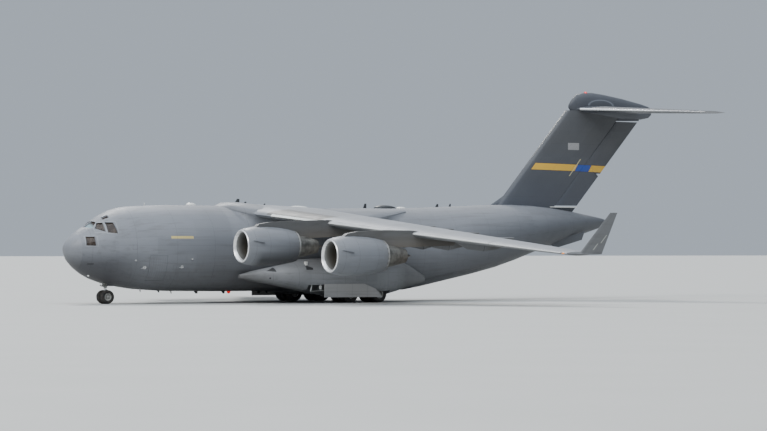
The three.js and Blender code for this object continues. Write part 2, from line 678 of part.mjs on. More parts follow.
// Engines: fan cowl with a strake each side, core with its pylon, and fan with its blades.
for (const engine of engines) {
  const { lip, axis, y } = engine;
  const lead = section(wingPanel, Math.abs(y) / wingSpan);
  const [x1, , z1] = lead.at;
  const pylonOutline = (g) => [
    [lip + 1050 - g, axis + 1150 - g],
    [lip + 1050 - g, axis + 1330 + g],
    [lip + 1400, axis + 1600 + g],
    [lip + 2300, axis + 1760 + g],
    [lip + 4600, axis + 1860 + g],
    [x1 + 100, z1 + 230 + g],
    [x1 + 1400, z1 + 150 + g],
    [x1 + 3900 + g, z1 - 450],
    [x1 + 3700 + g, z1 - 850],
    [lip + 6150, axis + 620 - g],
    [lip + 4600, axis + 560 - g],
    [lip + 2400, axis + 600 - g],
    [lip + 2300, axis + 1150 - g],
  ];
  const pylon = (g) => sidePlate(pylonOutline(g), y - pylonHalfWidth - g, y + pylonHalfWidth + g);
  const core = alongX(coreProfile, engineSegments, lip, y, axis);
  place(`engine_core_${engine.name}`, core.add(pylon(0).subtract(wingClear)), hotMetal);
  const centre = [lip, y, axis];
  let cowl = alongX([...cowlProfile, cowlProfile[0]], engineSegments, ...centre);
  for (const side of [-1, 1]) {
    const edges = [cowlStrake.foot, cowlStrake.edge].map((edge) =>
      edge.map(([along, radius, turn]) => [along, radius, side * turn]),
    );
    cowl = cowl.add(radialPlate(centre, edges, cowlStrake.thick));
  }
  place(`nacelle_${engine.name}`, cowl.subtract(pylon(seam)), paint);
  let fan = alongX(fanHub, engineSegments, ...centre);
  for (let i = 0; i < fanBlade.count; i += 1) {
    const turn = (2 * Math.PI * i) / fanBlade.count;
    const { front, rear, foot, footTwist, tip, tipTwist } = fanBlade;
    const edges = [
      [[front, foot, turn - footTwist], [rear, foot, turn + footTwist]],
      [[front, tip, turn - tipTwist], [rear, tip, turn + tipTwist]],
    ];
    fan = fan.add(radialPlate(centre, edges, fanBlade.thick));
  }
  place(`fan_${engine.name}`, fan, bareMetal);
}

// Fin and its two rudders.
const finT = (z) => (z - finPanel.root.at[2]) / (finPanel.tip.at[2] - finPanel.root.at[2]);
const bulletSolid = (grow) => skin(bullet.map((row) => hoop(row, grow)));
let fin = skin([6700, finTop].map((z) => foil(finPanel, finT(z), evenUpper, evenLower)));
fin = fin.add(skin([0, 1].map((t) => foil(finFillet, t, evenUpper, evenLower))));
for (const [name, { from, to }] of Object.entries(rudders)) {
  const [low, high] = [from, to].map((z) => rearFoil(finPanel, finT(z), evenUpper, evenLower));
  const aboveFoot = block(30000, 60000, -3000, 3000, rudderFoot - rudderFootGap, 17000);
  fin = fin.subtract(hingeRoom(low, high, 4000).intersect(aboveFoot));
  const rings = [finT(from - 900), finT(to + 900)].map((t) => rearFoil(finPanel, t, evenUpper, evenLower).ring);
  const movable = skin(rings).intersect(hingeBox(low.middle, high.middle, -1000, 6000, 0, 0, 4000));
  const zone = block(30000, 60000, -3000, 3000, rudderFoot, rudderHead);
  place(`rudder_${name}`, movable.intersect(zone), darkPaint);
}
const tailClear = joined([
  bulletSolid(seam),
  ...[-1, 1].map((side) => {
    const panel = mirrorY(tailPanel, side);
    return skin([foil(panel, 0, evenUpper, evenLower, seam), foil(panel, 1, evenUpper, evenLower, seam)]);
  }),
]);
place("fin", fin.subtract(clearOfFuselage).subtract(tailClear), darkPaint);

// Tailplane through the bullet fairing, with one elevator each side.
let tailplane = bulletSolid(0);
for (const side of [-1, 1]) {
  const panel = mirrorY(tailPanel, side);
  const span = tailPanel.tip.at[1];
  let half = skin([foil(panel, 0, evenUpper, evenLower), foil(panel, 1, evenUpper, evenLower)]);
  const ends = [elevator.inner, elevator.outer].map((y) => rearFoil(panel, y / span, evenUpper, evenLower));
  const [from, to] = ends.map((end) => end.middle);
  half = half.subtract(hingeRoom(...ends, 2000));
  const reach = [elevator.inner - 900, elevator.outer + 300];
  const rings = reach.map((y) => rearFoil(panel, y / span, evenUpper, evenLower).ring);
  const movable = skin(rings).intersect(hingeBox(from, to, -1000, 6000, 0, 0, 2000));
  place(`elevator_${side < 0 ? "port" : "starboard"}`, movable, darkPaint);
  tailplane = tailplane.add(half);
}
place("tailplane", tailplane, darkPaint);

// Main gear: pods, hanging outboard doors, legs and wheels three abreast.
const wheelProfile = (centres, radius, width, axle) => {
  const points = [];
  const reach = Math.max(...centres) + width / 2 + 20;
  points.push([Math.min(...centres) - width / 2 - 20, 0], [Math.min(...centres) - width / 2 - 20, axle]);
  for (const c of centres) {
    const h = width / 2;
    points.push([c - h * 0.6, axle], [c - h, radius * 0.72], [c - h * 0.72, radius]);
    points.push([c + h * 0.72, radius], [c + h, radius * 0.72], [c + h * 0.6, axle]);
  }
  points.push([reach, axle], [reach, 0]);
  return points;
};
for (const side of [-1, 1]) {
  const label = side < 0 ? "port" : "starboard";
  const across = (near, far) => (side < 0 ? [-far, -near] : [near, far]);
  const opening = sidePlate(
    [[bay.front, -100], [bay.front, bay.sill], [22100, bay.sill], [23100, 1000], [23680, 400], [23680, -100]],
    ...across(bay.outer - 200, 6500),
  );
  const well = block(bay.front, bay.rear, ...across(bay.inner, bay.outer), -100, bay.roof);
  place(
    `gear_pod_${label}`,
    podSolid(side, 0).subtract(clearOfFuselage).subtract(well).subtract(opening),
    paint,
  );
  place(
    `gear_door_${label}`,
    sidePlate(hangingDoor, ...across(doorPlane, doorPlane + doorThickness)),
    gearPaint,
  );
  const keel = [mainGear.front - 650, mainGear.rear + 650];
  const legParts = [block(...keel, ...across(3300, 4450), bay.roof - 200, bay.roof - seam)];
  for (const x of [mainGear.front, mainGear.rear]) {
    const foot = mainGear.radius + axleRadius + moveGap;
    legParts.push(rod([x, side * strutTrack, foot], [x, side * strutTrack, bay.roof - 100], 130));
    const centres = mainGear.tracks;
    const profile = wheelProfile(centres, mainGear.radius, mainGear.width, axleRadius);
    const rank = x === mainGear.front ? "front" : "rear";
    const ownSide = side < 0 ? profile.map(([along, radius]) => [-along, radius]).reverse() : profile;
    place(`main_wheels_${rank}_${label}`, alongY(ownSide, wheelSegments, x, 0, mainGear.radius), rubber);
  }
  place(`main_gear_legs_${label}`, joined(legParts), gearPaint);
}

// Nose gear: leg with its trunnion and brace, steered fork, and two wheels on one axle.
const noseFoot = noseGear.radius + axleRadius + moveGap;
const trunnion = 1960;
place(
  "nose_gear_leg",
  joined([
    rod([noseGear.x, 0, 1120], [noseGear.x, 0, 2080], 105),
    rod([noseGear.x, -1180, trunnion], [noseGear.x, 1180, trunnion], 80),
    rod([noseGear.x, 0, 1250], [noseGear.x + 420, 0, 1980], 45),
    rod([noseGear.x + 420, -500, 1980], [noseGear.x + 420, 500, 1980], 55),
  ]),
  gearPaint,
);
place("nose_gear_fork", rod([noseGear.x, 0, noseFoot], [noseGear.x, 0, 1096], 80), gearPaint);
place(
  "nose_wheels",
  alongY(
    wheelProfile([-noseGear.spacing, noseGear.spacing], noseGear.radius, noseGear.width, axleRadius),
    wheelSegments,
    noseGear.x,
    0,
    noseGear.radius,
  ),
  rubber,
);

aircraft.scale.setScalar(modelScale);
aircraft.position.set((-overallLength * modelScale) / 2, 0, 0);

export default aircraft;
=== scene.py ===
import math

import bmesh
import bpy
from mathutils import Matrix, Vector
from mathutils.bvhtree import BVHTree


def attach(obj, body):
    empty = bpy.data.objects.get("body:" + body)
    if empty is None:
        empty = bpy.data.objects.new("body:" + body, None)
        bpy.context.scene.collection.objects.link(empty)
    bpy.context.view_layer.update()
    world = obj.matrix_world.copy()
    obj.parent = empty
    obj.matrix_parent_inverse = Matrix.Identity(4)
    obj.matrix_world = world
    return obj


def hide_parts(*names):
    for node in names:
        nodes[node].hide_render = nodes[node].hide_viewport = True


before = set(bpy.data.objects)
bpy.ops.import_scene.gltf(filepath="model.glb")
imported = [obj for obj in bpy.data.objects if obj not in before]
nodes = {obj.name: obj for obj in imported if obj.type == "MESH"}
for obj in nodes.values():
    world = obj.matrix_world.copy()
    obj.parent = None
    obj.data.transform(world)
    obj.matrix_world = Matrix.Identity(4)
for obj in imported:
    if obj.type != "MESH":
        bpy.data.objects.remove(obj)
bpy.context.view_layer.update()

# The hull is a pressed tube of aluminium sheets on frames and stringers, in matt grey paint.
# It comes in three barrels, with a crew door, a ramp, a cargo door and two jump doors in it.
# Places are full-size metres aft of the nose tip, to starboard and up; the model is half that.
half_length = 26.52


def at(x, y, z):
    return Vector(((x - half_length) / 2, y / 2, z / 2))


class Wire:
    """A socket of one material, on which Python's operators add the nodes of their maths."""

    def __init__(self, tree, socket=None):
        self.tree = tree
        self.socket = socket

    def node(self, kind, settings, values, output=0):
        """Adds a node: its settings first, then its sockets' values or links."""
        made = self.tree.nodes.new(kind)
        for name, setting in settings.items():
            setattr(made, name, setting)
        for name, value in values.items():
            if isinstance(value, Wire):
                self.tree.links.new(value.socket, made.inputs[name])
            else:
                made.inputs[name].default_value = value
        return Wire(self.tree, made.outputs[output])

    def other(self, output):
        return Wire(self.tree, self.socket.node.outputs[output])

    def maths(self, operation, *others):
        return self.node("ShaderNodeMath", {"operation": operation}, dict(enumerate((self, *others))))

    def __add__(self, value):
        return self.maths("ADD", value)

    def __sub__(self, value):
        return self.maths("SUBTRACT", value)

    def __rsub__(self, value):
        return self.node("ShaderNodeMath", {"operation": "SUBTRACT"}, {0: value, 1: self})

    def __mul__(self, value):
        return self.maths("MULTIPLY", value)

    def __truediv__(self, value):
        return self.maths("DIVIDE", value)

    def __gt__(self, value):
        return self.maths("GREATER_THAN", value)

    def __lt__(self, value):
        return self.maths("LESS_THAN", value)

    def __abs__(self):
        return self.maths("ABSOLUTE")


def within(value, low, high):
    return (value > low) * (value < high)


def either(mask, *others):
    for other in others:
        mask = mask.maths("MAXIMUM", other)
    return mask


def soft(value, low, high):
    """0 below low, 1 above high, and an even slope between them."""
    return value.node("ShaderNodeMapRange", {}, {0: value, 1: low, 2: high})


def lines(value, pitch, width):
    """1 on lines that come back at one pitch."""
    return abs((value / pitch).maths("FRACT") - 0.5) > 0.5 - width / pitch / 2


def framed(a, b, box, width):
    """1 on the outline of a box given as low and high of a, then of b."""
    a0, a1, b0, b1 = box
    whole = within(a, a0 - width, a1 + width) * within(b, b0 - width, b1 + width)
    return whole - within(a, a0, a1) * within(b, b0, b1)


def tint(factor, first, second):
    values = {0: factor, 6: first, 7: second}
    return factor.node("ShaderNodeMix", {"data_type": "RGBA"}, values, 2)


def cloud(place, size, detail=4.0, stretch=(1, 1, 1)):
    """Noise between 0 and 1 with blotches about one size across, in metres."""
    scaled = place.node("ShaderNodeMapping", {}, {0: place, 3: stretch})
    return place.node("ShaderNodeTexNoise", {}, {"Vector": scaled, "Scale": 1 / size, "Detail": detail})


def grey(value, warm=0.0, blue=0.0):
    return (value * (1 + warm), value, value * (1 - warm + blue), 1)


def times(colour, factor):
    return tuple(value * factor for value in colour[:3]) + (1,)


def finish(name, metallic=0.0, coat=0.0):
    """A new material: its surface shader, and the place on the piece that its patterns read."""
    material = bpy.data.materials.new(name)
    material.use_nodes = True
    surface = material.node_tree.nodes["Principled BSDF"]
    surface.inputs["Metallic"].default_value = metallic
    surface.inputs["Coat Weight"].default_value = coat
    place = Wire(material.node_tree).node("ShaderNodeTexCoord", {}, {}, "Object")
    return material, surface, place


def feed(surface, name, wire):
    wire.tree.links.new(wire.socket, surface.inputs[name])


def emboss(surface, height, strength, distance):
    values = {"Strength": strength, "Distance": distance, "Height": height}
    feed(surface, "Normal", height.node("ShaderNodeBump", {}, values))


def coordinates(place):
    x = place.node("ShaderNodeSeparateXYZ", {}, {0: place}, 0)
    return x, x.other(1), x.other(2)


def joined(*values):
    """A vector from three values, of which some may be numbers."""
    wire = next(value for value in values if isinstance(value, Wire))
    return wire.node("ShaderNodeCombineXYZ", {}, dict(enumerate(values)))


def number(value, pitch):
    """Counts the panels along one way."""
    return (value / pitch).maths("FLOOR")


def aircraft_paint(name, tone, panels, marks=None, grime=0.35, matt=0.52):
    """Matt aircraft paint: tone by panel, faded blotches, streaks aft, dirt, and dark seams.
    panels gives a mask of the seams and a vector that names each panel; marks draws what is
    painted on, and may return a mask of bare metal with the colour."""
    material, surface, place = finish(name)
    x, y, z = coordinates(place)
    seams, cell = panels(x, y, z)
    each = place.node("ShaderNodeTexWhiteNoise", {"noise_dimensions": "3D"}, {"Vector": cell})
    colour = tint(each, times(tone, 0.93), times(tone, 1.07))
    worn = soft(cloud(place, 1.3), 0.42, 0.68)
    colour = tint(worn * 0.5, colour, times(tone, 0.86))
    streak = soft(cloud(place, 0.12, 6, (0.06, 1, 1)), 0.52, 0.75)
    colour = tint(streak * grime, colour, (0.07, 0.065, 0.058, 1))
    speck = soft(cloud(place, 0.02, 3), 0.66, 0.74)
    colour = tint(speck * 0.25, colour, (0.06, 0.06, 0.06, 1))
    bare = None
    if marks:
        colour, bare = marks(x, y, z, place, colour)
    colour = tint(seams * 0.55, colour, (0.035, 0.036, 0.038, 1))
    feed(surface, "Base Color", colour)
    rough = cloud(place, 0.35) * 0.22 + (matt - 0.08)
    if bare:
        feed(surface, "Metallic", bare * 0.85)
        rough = rough - bare * 0.24
    feed(surface, "Roughness", rough + seams * 0.2)
    height = (1 - seams) * 0.8 + cloud(place, 0.5, 2) * 0.5 + cloud(place, 0.004, 2) * 0.05
    emboss(surface, height, 0.35, 0.004)
    return material


def shade_below(colour, height, amount):
    """Painted shade that darkens what faces the ground; height is from the widest line."""
    return tint(soft(height * -1.0, -0.25, 1.2) * amount, colour, (0.066, 0.06, 0.054, 1))


widest_height = 2.145
upsweep_start = 2.0


def over_widest(x, z):
    """Height over the hull's widest line, which rises behind the wing."""
    return z - widest_height - (x - upsweep_start).maths("MAXIMUM", 0.0) * 0.1


sheet_length = 1.52
sheet_turn = 0.392


def hull_panels(x, y, z):
    round_hull = over_widest(x, z).maths("ARCTAN2", abs(y))
    seams = either(lines(x + 0.31, sheet_length, 0.006), lines(round_hull, sheet_turn, 0.003))
    cell = joined(number(x + 1.07, sheet_length), number(round_hull + 0.196, sheet_turn), y > 0)
    return seams, cell


rescue_yellow = (0.62, 0.5, 0.2, 1)
line_colour = (0.05, 0.05, 0.052, 1)
hole_colour = (0.01, 0.01, 0.012, 1)
soot_colour = (0.06, 0.055, 0.05, 1)
chin_colour = (0.04, 0.043, 0.055, 1)


def hull_marks(x, y, z, place, colour):
    port = y < 0
    # Hatches and small access doors, as thin dark outlines; boxes are low and high x, then z.
    hatches = [(-11.98, -11.6, 1.19, 1.6), (-11.1, -10.95, 2.0, 2.16), (-9.55, -9.3, 1.25, 1.42)]
    hatches += [(-7.9, -7.45, 1.05, 1.4), (2.9, 3.3, 2.35, 2.6), (4.6, 5.0, 2.6, 2.9)]
    for box in hatches:
        colour = tint(framed(x, z, box, 0.006) * 0.7, colour, line_colour)
    # Pale metal frames round the side panes and chin panes, steps by the door, and a dark slot.
    panes = [(-12.3, -11.98, 2.62, 2.985), (-11.93, -11.58, 2.59, 2.995), (-12.67, -12.3, 2.13, 2.47)]
    for box in panes:
        colour = tint(framed(x, z, box, 0.02) * 0.6, colour, (0.33, 0.35, 0.37, 1))
    steps = lines(x, 0.086, 0.008) * within(x, -10.42, -9.87) * within(z, 0.95, 1.68) * port
    colour = tint(steps * 0.35, colour, line_colour)
    slot = within(x, -12.6, -12.4) * within(z, 1.43, 1.5) * port
    colour = tint(slot, colour, hole_colour)
    colour = tint(within(x, -9.66, -8.78) * within(z, 2.4, 2.49) * port, colour, rescue_yellow)
    # Refuelling slipway on the crown, behind the flight deck.
    slipway = abs(y) - 0.14 - (x + 10.2) * 0.12
    guide = within(abs(slipway), -1.0, 0.012) * within(x, -11.2, -9.3) * (z > 3.0)
    colour = tint(guide * 0.8, colour, (0.55, 0.56, 0.55, 1))
    # Soot and rain run down below the widest line.
    rain = soft(cloud(place, 0.16, 5, (1, 1, 0.08)), 0.55, 0.8) * soft(z * -1.0, -2.1, -0.9)
    colour = tint(rain * 0.35, colour, soot_colour)
    # The hull is darker from ahead of the wing aft, and painted shade darkens the lower tail cone and the
    # underside of the nose.
    height = over_widest(x, z)
    colour = tint(soft(x, -10.2, -7.8) * 0.26, colour, (0.06, 0.062, 0.068, 1))
    tail_shade = soft(x, 2.0, 7.5) * soft(height * -1.0, -1.0, 0.0)
    colour = tint(tail_shade * 0.8, colour, (0.045, 0.05, 0.06, 1))
    chin = soft(x * -1.0, 10.6, 11.8) * soft(height * -1.0, 0.15, 0.7)
    colour = tint(chin * 0.8, colour, chin_colour)
    # Painted shade darkens all of the hull that lies below the widest line.
    return shade_below(colour, height, 0.42), None


hull_tone = grey(0.215, -0.05, 0.06)
hull_paint = aircraft_paint("hull_paint", hull_tone, hull_panels, hull_marks)


def dress(name, material, angle=35):
    """Finishes a CAD solid, smooth all over but for edges that turn more than the angle."""
    solid = nodes[name]
    solid.data.materials.clear()
    solid.data.materials.append(material)
    if "custom_normal" in solid.data.attributes:
        solid.data.attributes.remove(solid.data.attributes["custom_normal"])
    for face in solid.data.polygons:
        face.use_smooth = True
    weld = solid.modifiers.new("Weld", "WELD")
    weld.merge_threshold = 0.00005
    crease = solid.modifiers.new("Crease", "EDGE_SPLIT")
    crease.split_angle = math.radians(angle)


barrels = ("forward_fuselage", "centre_fuselage", "aft_fuselage")
for barrel in (*barrels, "wing_root_fairing"):
    dress(barrel, hull_paint)
for door in ("crew_door", "cargo_ramp", "cargo_door", "paratroop_door_port", "paratroop_door_starboard"):
    dress(door, hull_paint)


# A strip of formed sheet closes the corner between the wing root fairing and the hull, and is
# screwed to both: one strip ahead of the wing and one behind it, on each side.
skins = {}


def on_skin(node, source, towards):
    """Where a straight line meets a CAD solid, and which way its face looks there."""
    if node not in skins:
        mesh = nodes[node].data
        corners = [v.co for v in mesh.vertices]
        skins[node] = BVHTree.FromPolygons(corners, [p.vertices for p in mesh.polygons])
    place, normal, *_ = skins[node].ray_cast(source, Vector(towards))
    return place, normal


def reach_out(names, x, z, side):
    """How far out the solids stand at one station and height, in full-size metres."""
    found = [on_skin(name, at(x, side * 20, z), (0, -side, 0))[0] for name in names]
    return max((abs(place.y) * 2 for place in found if place), default=0)


levels = [7.6 - 0.04 * i for i in range(80)]  # full-size heights, downwards


def strip_section(x, side, size):
    """From the fairing's widest place over the corner to the hull below it, and back inside."""
    fairing_out = [reach_out(("wing_root_fairing",), x, z, side) for z in levels]
    hull_out = [reach_out(barrels, x, z, side) for z in levels]
    over = [i for i in range(len(levels)) if fairing_out[i] > hull_out[i] + 0.01]
    if not over:
        return []
    corner = over[-1]
    near = range(max(corner - int(15 * size), over[0]), corner + 1)
    widest = max(near, key=lambda i: fairing_out[i])
    foot = min(corner + 2 + int(16 * size), len(levels) - 1)
    start = Vector((fairing_out[widest], levels[widest]))
    end = Vector((hull_out[foot] + 0.004, levels[foot]))
    bend = (start + end) / 2 * 0.6 + Vector((hull_out[corner], levels[corner])) * 0.4
    steps = [i / 6 for i in range(7)]
    curve = [start * (1 - t) ** 2 + bend * 2 * t * (1 - t) + end * t ** 2 for t in steps]
    root = Vector((min(start.x, end.x) - 0.3, levels[corner]))
    return [at(x, side * point.x, point.y) for point in (*curve, root)]


def piece(name, bm, material, body, angle=35, stands_for=()):
    """Makes a finished mesh ride on a body, smooth but for edges that turn more than the angle."""
    bmesh.ops.remove_doubles(bm, verts=bm.verts, dist=0.00002)
    bmesh.ops.recalc_face_normals(bm, faces=bm.faces)
    for face in bm.faces:
        face.smooth = True
    for edge in bm.edges:
        if len(edge.link_faces) == 2 and edge.calc_face_angle(0) > math.radians(angle):
            edge.smooth = False
    mesh = bpy.data.meshes.new(name)
    bm.to_mesh(mesh)
    bm.free()
    thing = bpy.data.objects.new(name, mesh)
    bpy.context.scene.collection.objects.link(thing)
    mesh.materials.append(material)
    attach(thing, body)
    if stands_for:
        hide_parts(*stands_for)


sides = ((-1, "port"), (1, "starboard"))
section_count = 15
for side, label in sides:
    for part, first, last in (("front", 12.7, 16.6), ("rear", 24.9, 28.1)):
        strip = bmesh.new()
        before = []
        for i in range(section_count):
            t = i / (section_count - 1)
            places = strip_section(first + (last - first) * t, side, min(1, 4 * t * (1 - t) + 0.1))
            if not places:
                continue
            corners = [strip.verts.new(place) for place in places]
            ring = [strip.edges.new(pair) for pair in zip(corners, corners[1:] + corners[:1])]
            if before:
                bmesh.ops.bridge_loops(strip, edges=before + ring)
            before = ring
        bmesh.ops.holes_fill(strip, edges=strip.edges[:], sides=len(corners))
        piece(f"root_fillet_{part}_{label}", strip, hull_paint, "airframe", 50)

# The radome is a moulded glass-fibre nose cap, bolted on at the front bulkhead. It is painted
# with a rubbery paint that weathers, and narrow metal strips on it lead lightning away.
def radome_panels(x, y, z):
    round_nose = (z - 2.02).maths("ARCTAN2", y)
    strips = lines(round_nose + 0.26, 0.524, 0.006) * within(x, -13.1, -12.82)
    ring = within(x, -12.796, -12.786)
    return either(strips * 0.5, ring * 0.35), joined(number(x, 5.0), 0.0, 0.0)


def radome_marks(x, y, z, place, colour):
    # Painted shade darkens the lower side of the radome and all of it that faces the ground.
    colour = tint(soft(widest_height - z, 0.3, 0.75) * 0.75, colour, chin_colour)
    return shade_below(colour, z - widest_height, 0.6), None


radome_tone = grey(0.23, -0.05, 0.06)
radome_paint = aircraft_paint("radome_paint", radome_tone, radome_panels, radome_marks, 0.2, 0.45)
dress("radome", radome_paint, 60)

# The flight deck has laminated glass panes behind metal frames. Floor, consoles and seats are
# painted sheet, and the seats carry dark cloth.
pane, pane_surface, pane_place = finish("pane_glass", coat=0.1)
pane_surface.inputs["IOR"].default_value = 1.35
pane_surface.inputs["Alpha"].default_value = 0.82
smear = soft(cloud(pane_place, 0.15, 4, (1, 1, 0.4)), 0.45, 0.8)
pane_x, _, pane_z = coordinates(pane_place)
windscreen = soft(pane_x * -1.0, 12.2, 12.3) * (pane_z > 2.6)
side_tone = tint(smear, (0.045, 0.034, 0.028, 1), (0.13, 0.1, 0.08, 1))
feed(pane_surface, "Base Color", tint(windscreen, side_tone, (0.3, 0.4, 0.44, 1)))
feed(pane_surface, "Roughness", smear * 0.1 + 0.04)
dress("flight_deck_glazing", pane, 50)

cabin, cabin_surface, cabin_place = finish("cabin_paint")
scuffs = soft(cloud(cabin_place, 0.09, 6), 0.5, 0.72)
faded = soft(cloud(cabin_place, 0.6), 0.35, 0.65)
cabin_colour = tint(faded, (0.2, 0.21, 0.19, 1), (0.25, 0.26, 0.235, 1))
feed(cabin_surface, "Base Color", tint(scuffs * 0.5, cabin_colour, (0.09, 0.09, 0.085, 1)))
feed(cabin_surface, "Roughness", scuffs * 0.2 + 0.55)
emboss(cabin_surface, cloud(cabin_place, 0.01, 3), 0.3, 0.002)
dress("flight_deck", cabin)
dress("cargo_floor", cabin)

# Small fittings on the hull: aerials, domes, probes, drain masts and beacons. Each has a
# shaped foot plate screwed to the skin and a moulded or cast body.
def weathered(name, clean, worn, patches, spread, roughness, metallic=0.0, coat=0.0, grain=None):
    """A finish that is worn in patches. They are given by size, detail and stretch, roughness as
    the clean value and what wear adds, and grain as its size, detail, strength and depth."""
    material, surface, place = finish(name, metallic, coat)
    wear = soft(cloud(place, *patches), *spread)
    feed(surface, "Base Color", tint(wear, clean, worn))
    feed(surface, "Roughness", wear * roughness[1] + roughness[0])
    if grain:
        size, detail, strength, depth = grain
        emboss(surface, cloud(place, size, detail), strength, depth)
    return material


white_cap = weathered(
    "white_plastic", (0.72, 0.72, 0.69, 1), (0.5, 0.5, 0.46, 1), (0.05, 5), (0.5, 0.75), (0.32, 0.3)
)
black_cap = weathered(
    "black_plastic", (0.018, 0.02, 0.023, 1), (0.05, 0.053, 0.057, 1), (0.05, 5), (0.4, 0.75), (0.35, 0.3)
)


def round_edges(bm, made, offset):
    edges = list({e for v in made for e in v.link_edges})
    return bmesh.ops.bevel(
        bm, geom=edges, offset=offset, segments=2, profile=0.5, affect="EDGES", material=-1
    )["verts"]


def aerial(bm, foot, up, length, height, width, lean):
    """A swept blade aerial with a rounded top, on an oval foot plate sunk in the skin."""
    along = Vector((1, 0, 0)) - up * up.x
    along.normalize()
    turn = Matrix((along, up.cross(along), up)).transposed().to_4x4()
    made = bmesh.ops.create_cube(bm, size=1, matrix=Matrix.Diagonal((length, width, height, 1)))["verts"]
    for v in made:
        if v.co.z > 0:
            v.co.x = v.co.x * 0.55 + lean
            v.co.y *= 0.55
    blade = round_edges(bm, made, width * 0.3)
    bmesh.ops.translate(bm, verts=blade, vec=(0, 0, height * 0.42))
    oval = Matrix.Diagonal((length * 1.3, width * 2.6, 1, 1))
    plate = bmesh.ops.create_cone(
        bm, cap_ends=True, segments=16, radius1=0.5, radius2=0.44, depth=0.012, matrix=oval
    )["verts"]
    place = Matrix.Translation(foot) @ turn
    bmesh.ops.transform(bm, matrix=place, verts=list(set(blade) | set(plate)))


def dome(bm, foot, length, width, height, tail=1.6):
    """A teardrop dome, blunt ahead and drawn out behind, sunk a little in the skin."""
    made = bmesh.ops.create_uvsphere(bm, u_segments=24, v_segments=12, radius=1.0)["verts"]
    for v in made:
        stretch = tail if v.co.x > 0 else 1.0
        v.co = Vector((v.co.x * length * stretch / (1 + tail), v.co.y * width / 2, v.co.z * height))
    bmesh.ops.translate(bm, verts=made, vec=foot)


def crown(x, y=-0.02):
    """The highest place over one station, and which way the skin looks there."""
    tops = ("wing_root_fairing", "wing_port", *barrels)
    found = [on_skin(node, at(x, y, 30), (0, 0, -1)) for node in tops]
    return max((hit for hit in found if hit[0]), key=lambda hit: hit[0].z)


def belly(x, y=0.0):
    for node in ("forward_fuselage", "centre_fuselage"):
        place, normal = on_skin(node, at(x, y, -5), (0, 0, 1))
        if place:
            return place, normal
    return at(x, y, 0.85), Vector((0, 0, -1))


dark_aerials = bmesh.new()
# Each blade's full-size station, then its length and height on the model.
crown_blades = [(14.3, 0.2, 0.17), (14.95, 0.13, 0.1), (16.6, 0.12, 0.09)]
crown_blades += [(25.5, 0.16, 0.2), (32.1, 0.15, 0.13), (33.3, 0.1, 0.12)]
for x, length, height in crown_blades:
    foot, normal = crown(x)
    aerial(dark_aerials, foot, normal, length, height, 0.022, 0.035)
belly_blades = [(7.67, 0.1, 0.07), (10.8, 0.17, 0.1), (13.1, 0.15, 0.1)]
belly_blades += [(16.1, 0.14, 0.11), (16.8, 0.1, 0.09)]
for x, length, height in belly_blades:
    foot, normal = belly(x)
    aerial(dark_aerials, foot, normal, length, height, 0.022, 0.04)
foot, normal = crown(27.2)
dome(dark_aerials, foot, 1.0, 0.42, 0.13, 1.3)
piece("dark_aerials", dark_aerials, black_cap, "airframe", 40)

white_domes = bmesh.new()
crown_domes = [(10.3, 0.42, 0.32, 0.1), (19.4, 0.86, 0.4, 0.085), (28.7, 0.42, 0.32, 0.06)]
for x, length, width, height in crown_domes:
    foot, normal = crown(x)
    dome(white_domes, foot, length, width, height)
foot, normal = crown(6.5)
aerial(white_domes, foot, normal, 0.05, 0.12, 0.018, 0.02)
for x in (5.86, 8.4):
    foot, normal = belly(x, -0.6)
    aerial(white_domes, foot, normal, 0.07, 0.11, 0.02, 0.03)
piece("white_domes", white_domes, white_cap, "airframe", 40)


def bar(bm, start, end, radius, segments=14, taper=1.0):
    """A round bar from one place to another."""
    start, end = Vector(start), Vector(end)
    along = end - start
    shape = Matrix.Translation((start + end) / 2) @ along.to_track_quat("Z", "Y").to_matrix().to_4x4()
    sizes = {"radius1": radius, "radius2": radius * taper, "depth": along.length}
    bmesh.ops.create_cone(bm, cap_ends=True, segments=segments, matrix=shape, **sizes)


brushed = (0.03, 6, (1, 1, 0.2))
steel = weathered(
    "polished_steel", (0.6, 0.6, 0.6, 1), (0.4, 0.39, 0.37, 1), brushed, (0.4, 0.8), (0.2, 0.25), 0.95
)
probes = bmesh.new()
for side, _ in sides:
    for x, z, size in [(5.25, 2.68, 1.5), (4.55, 3.2, 0.7), (8.07, 2.72, 1.3)]:
        foot, normal = on_skin("forward_fuselage", at(x, side * 20, z), (0, -side, 0))
        knee = foot + normal * 0.05 * size
        bar(probes, foot - normal * 0.01, knee, 0.013 * size, 10, 0.7)
        bar(probes, knee + Vector((0.03, 0, 0)), knee - Vector((0.11 * size, 0, 0)), 0.011 * size, 10, 0.5)
        bar(probes, foot - normal * 0.004, foot + normal * 0.006, 0.045 * size, 20)
    foot, normal = on_skin("forward_fuselage", at(8.84, side * 20, 3.29), (0, -side, 0))
    bar(probes, foot - normal * 0.01, foot + normal * 0.03, 0.05, 20, 0.6)
piece("air_data_probes", probes, steel, "airframe", 40)


def lens(name, colour, glow):
    """Moulded lamp glass, with a small glow behind it."""
    material, surface, place = finish(name, coat=0.8)
    surface.inputs["Roughness"].default_value = 0.1
    ribs = lines(coordinates(place)[2], 0.012, 0.003)
    feed(surface, "Base Color", tint(ribs * 0.5, colour, times(colour, 0.5)))
    surface.inputs["Emission Color"].default_value = colour
    surface.inputs["Emission Strength"].default_value = glow
    return material


red_lens = lens("red_lens", (0.75, 0.02, 0.015, 1), 0.9)
orange_lens = lens("orange_lens", (0.9, 0.3, 0.05, 1), 0.5)
green_lens = lens("green_lens", (0.02, 0.45, 0.12, 1), 0.4)
clear_lens = lens("clear_lens", (0.85, 0.87, 0.85, 1), 0.35)


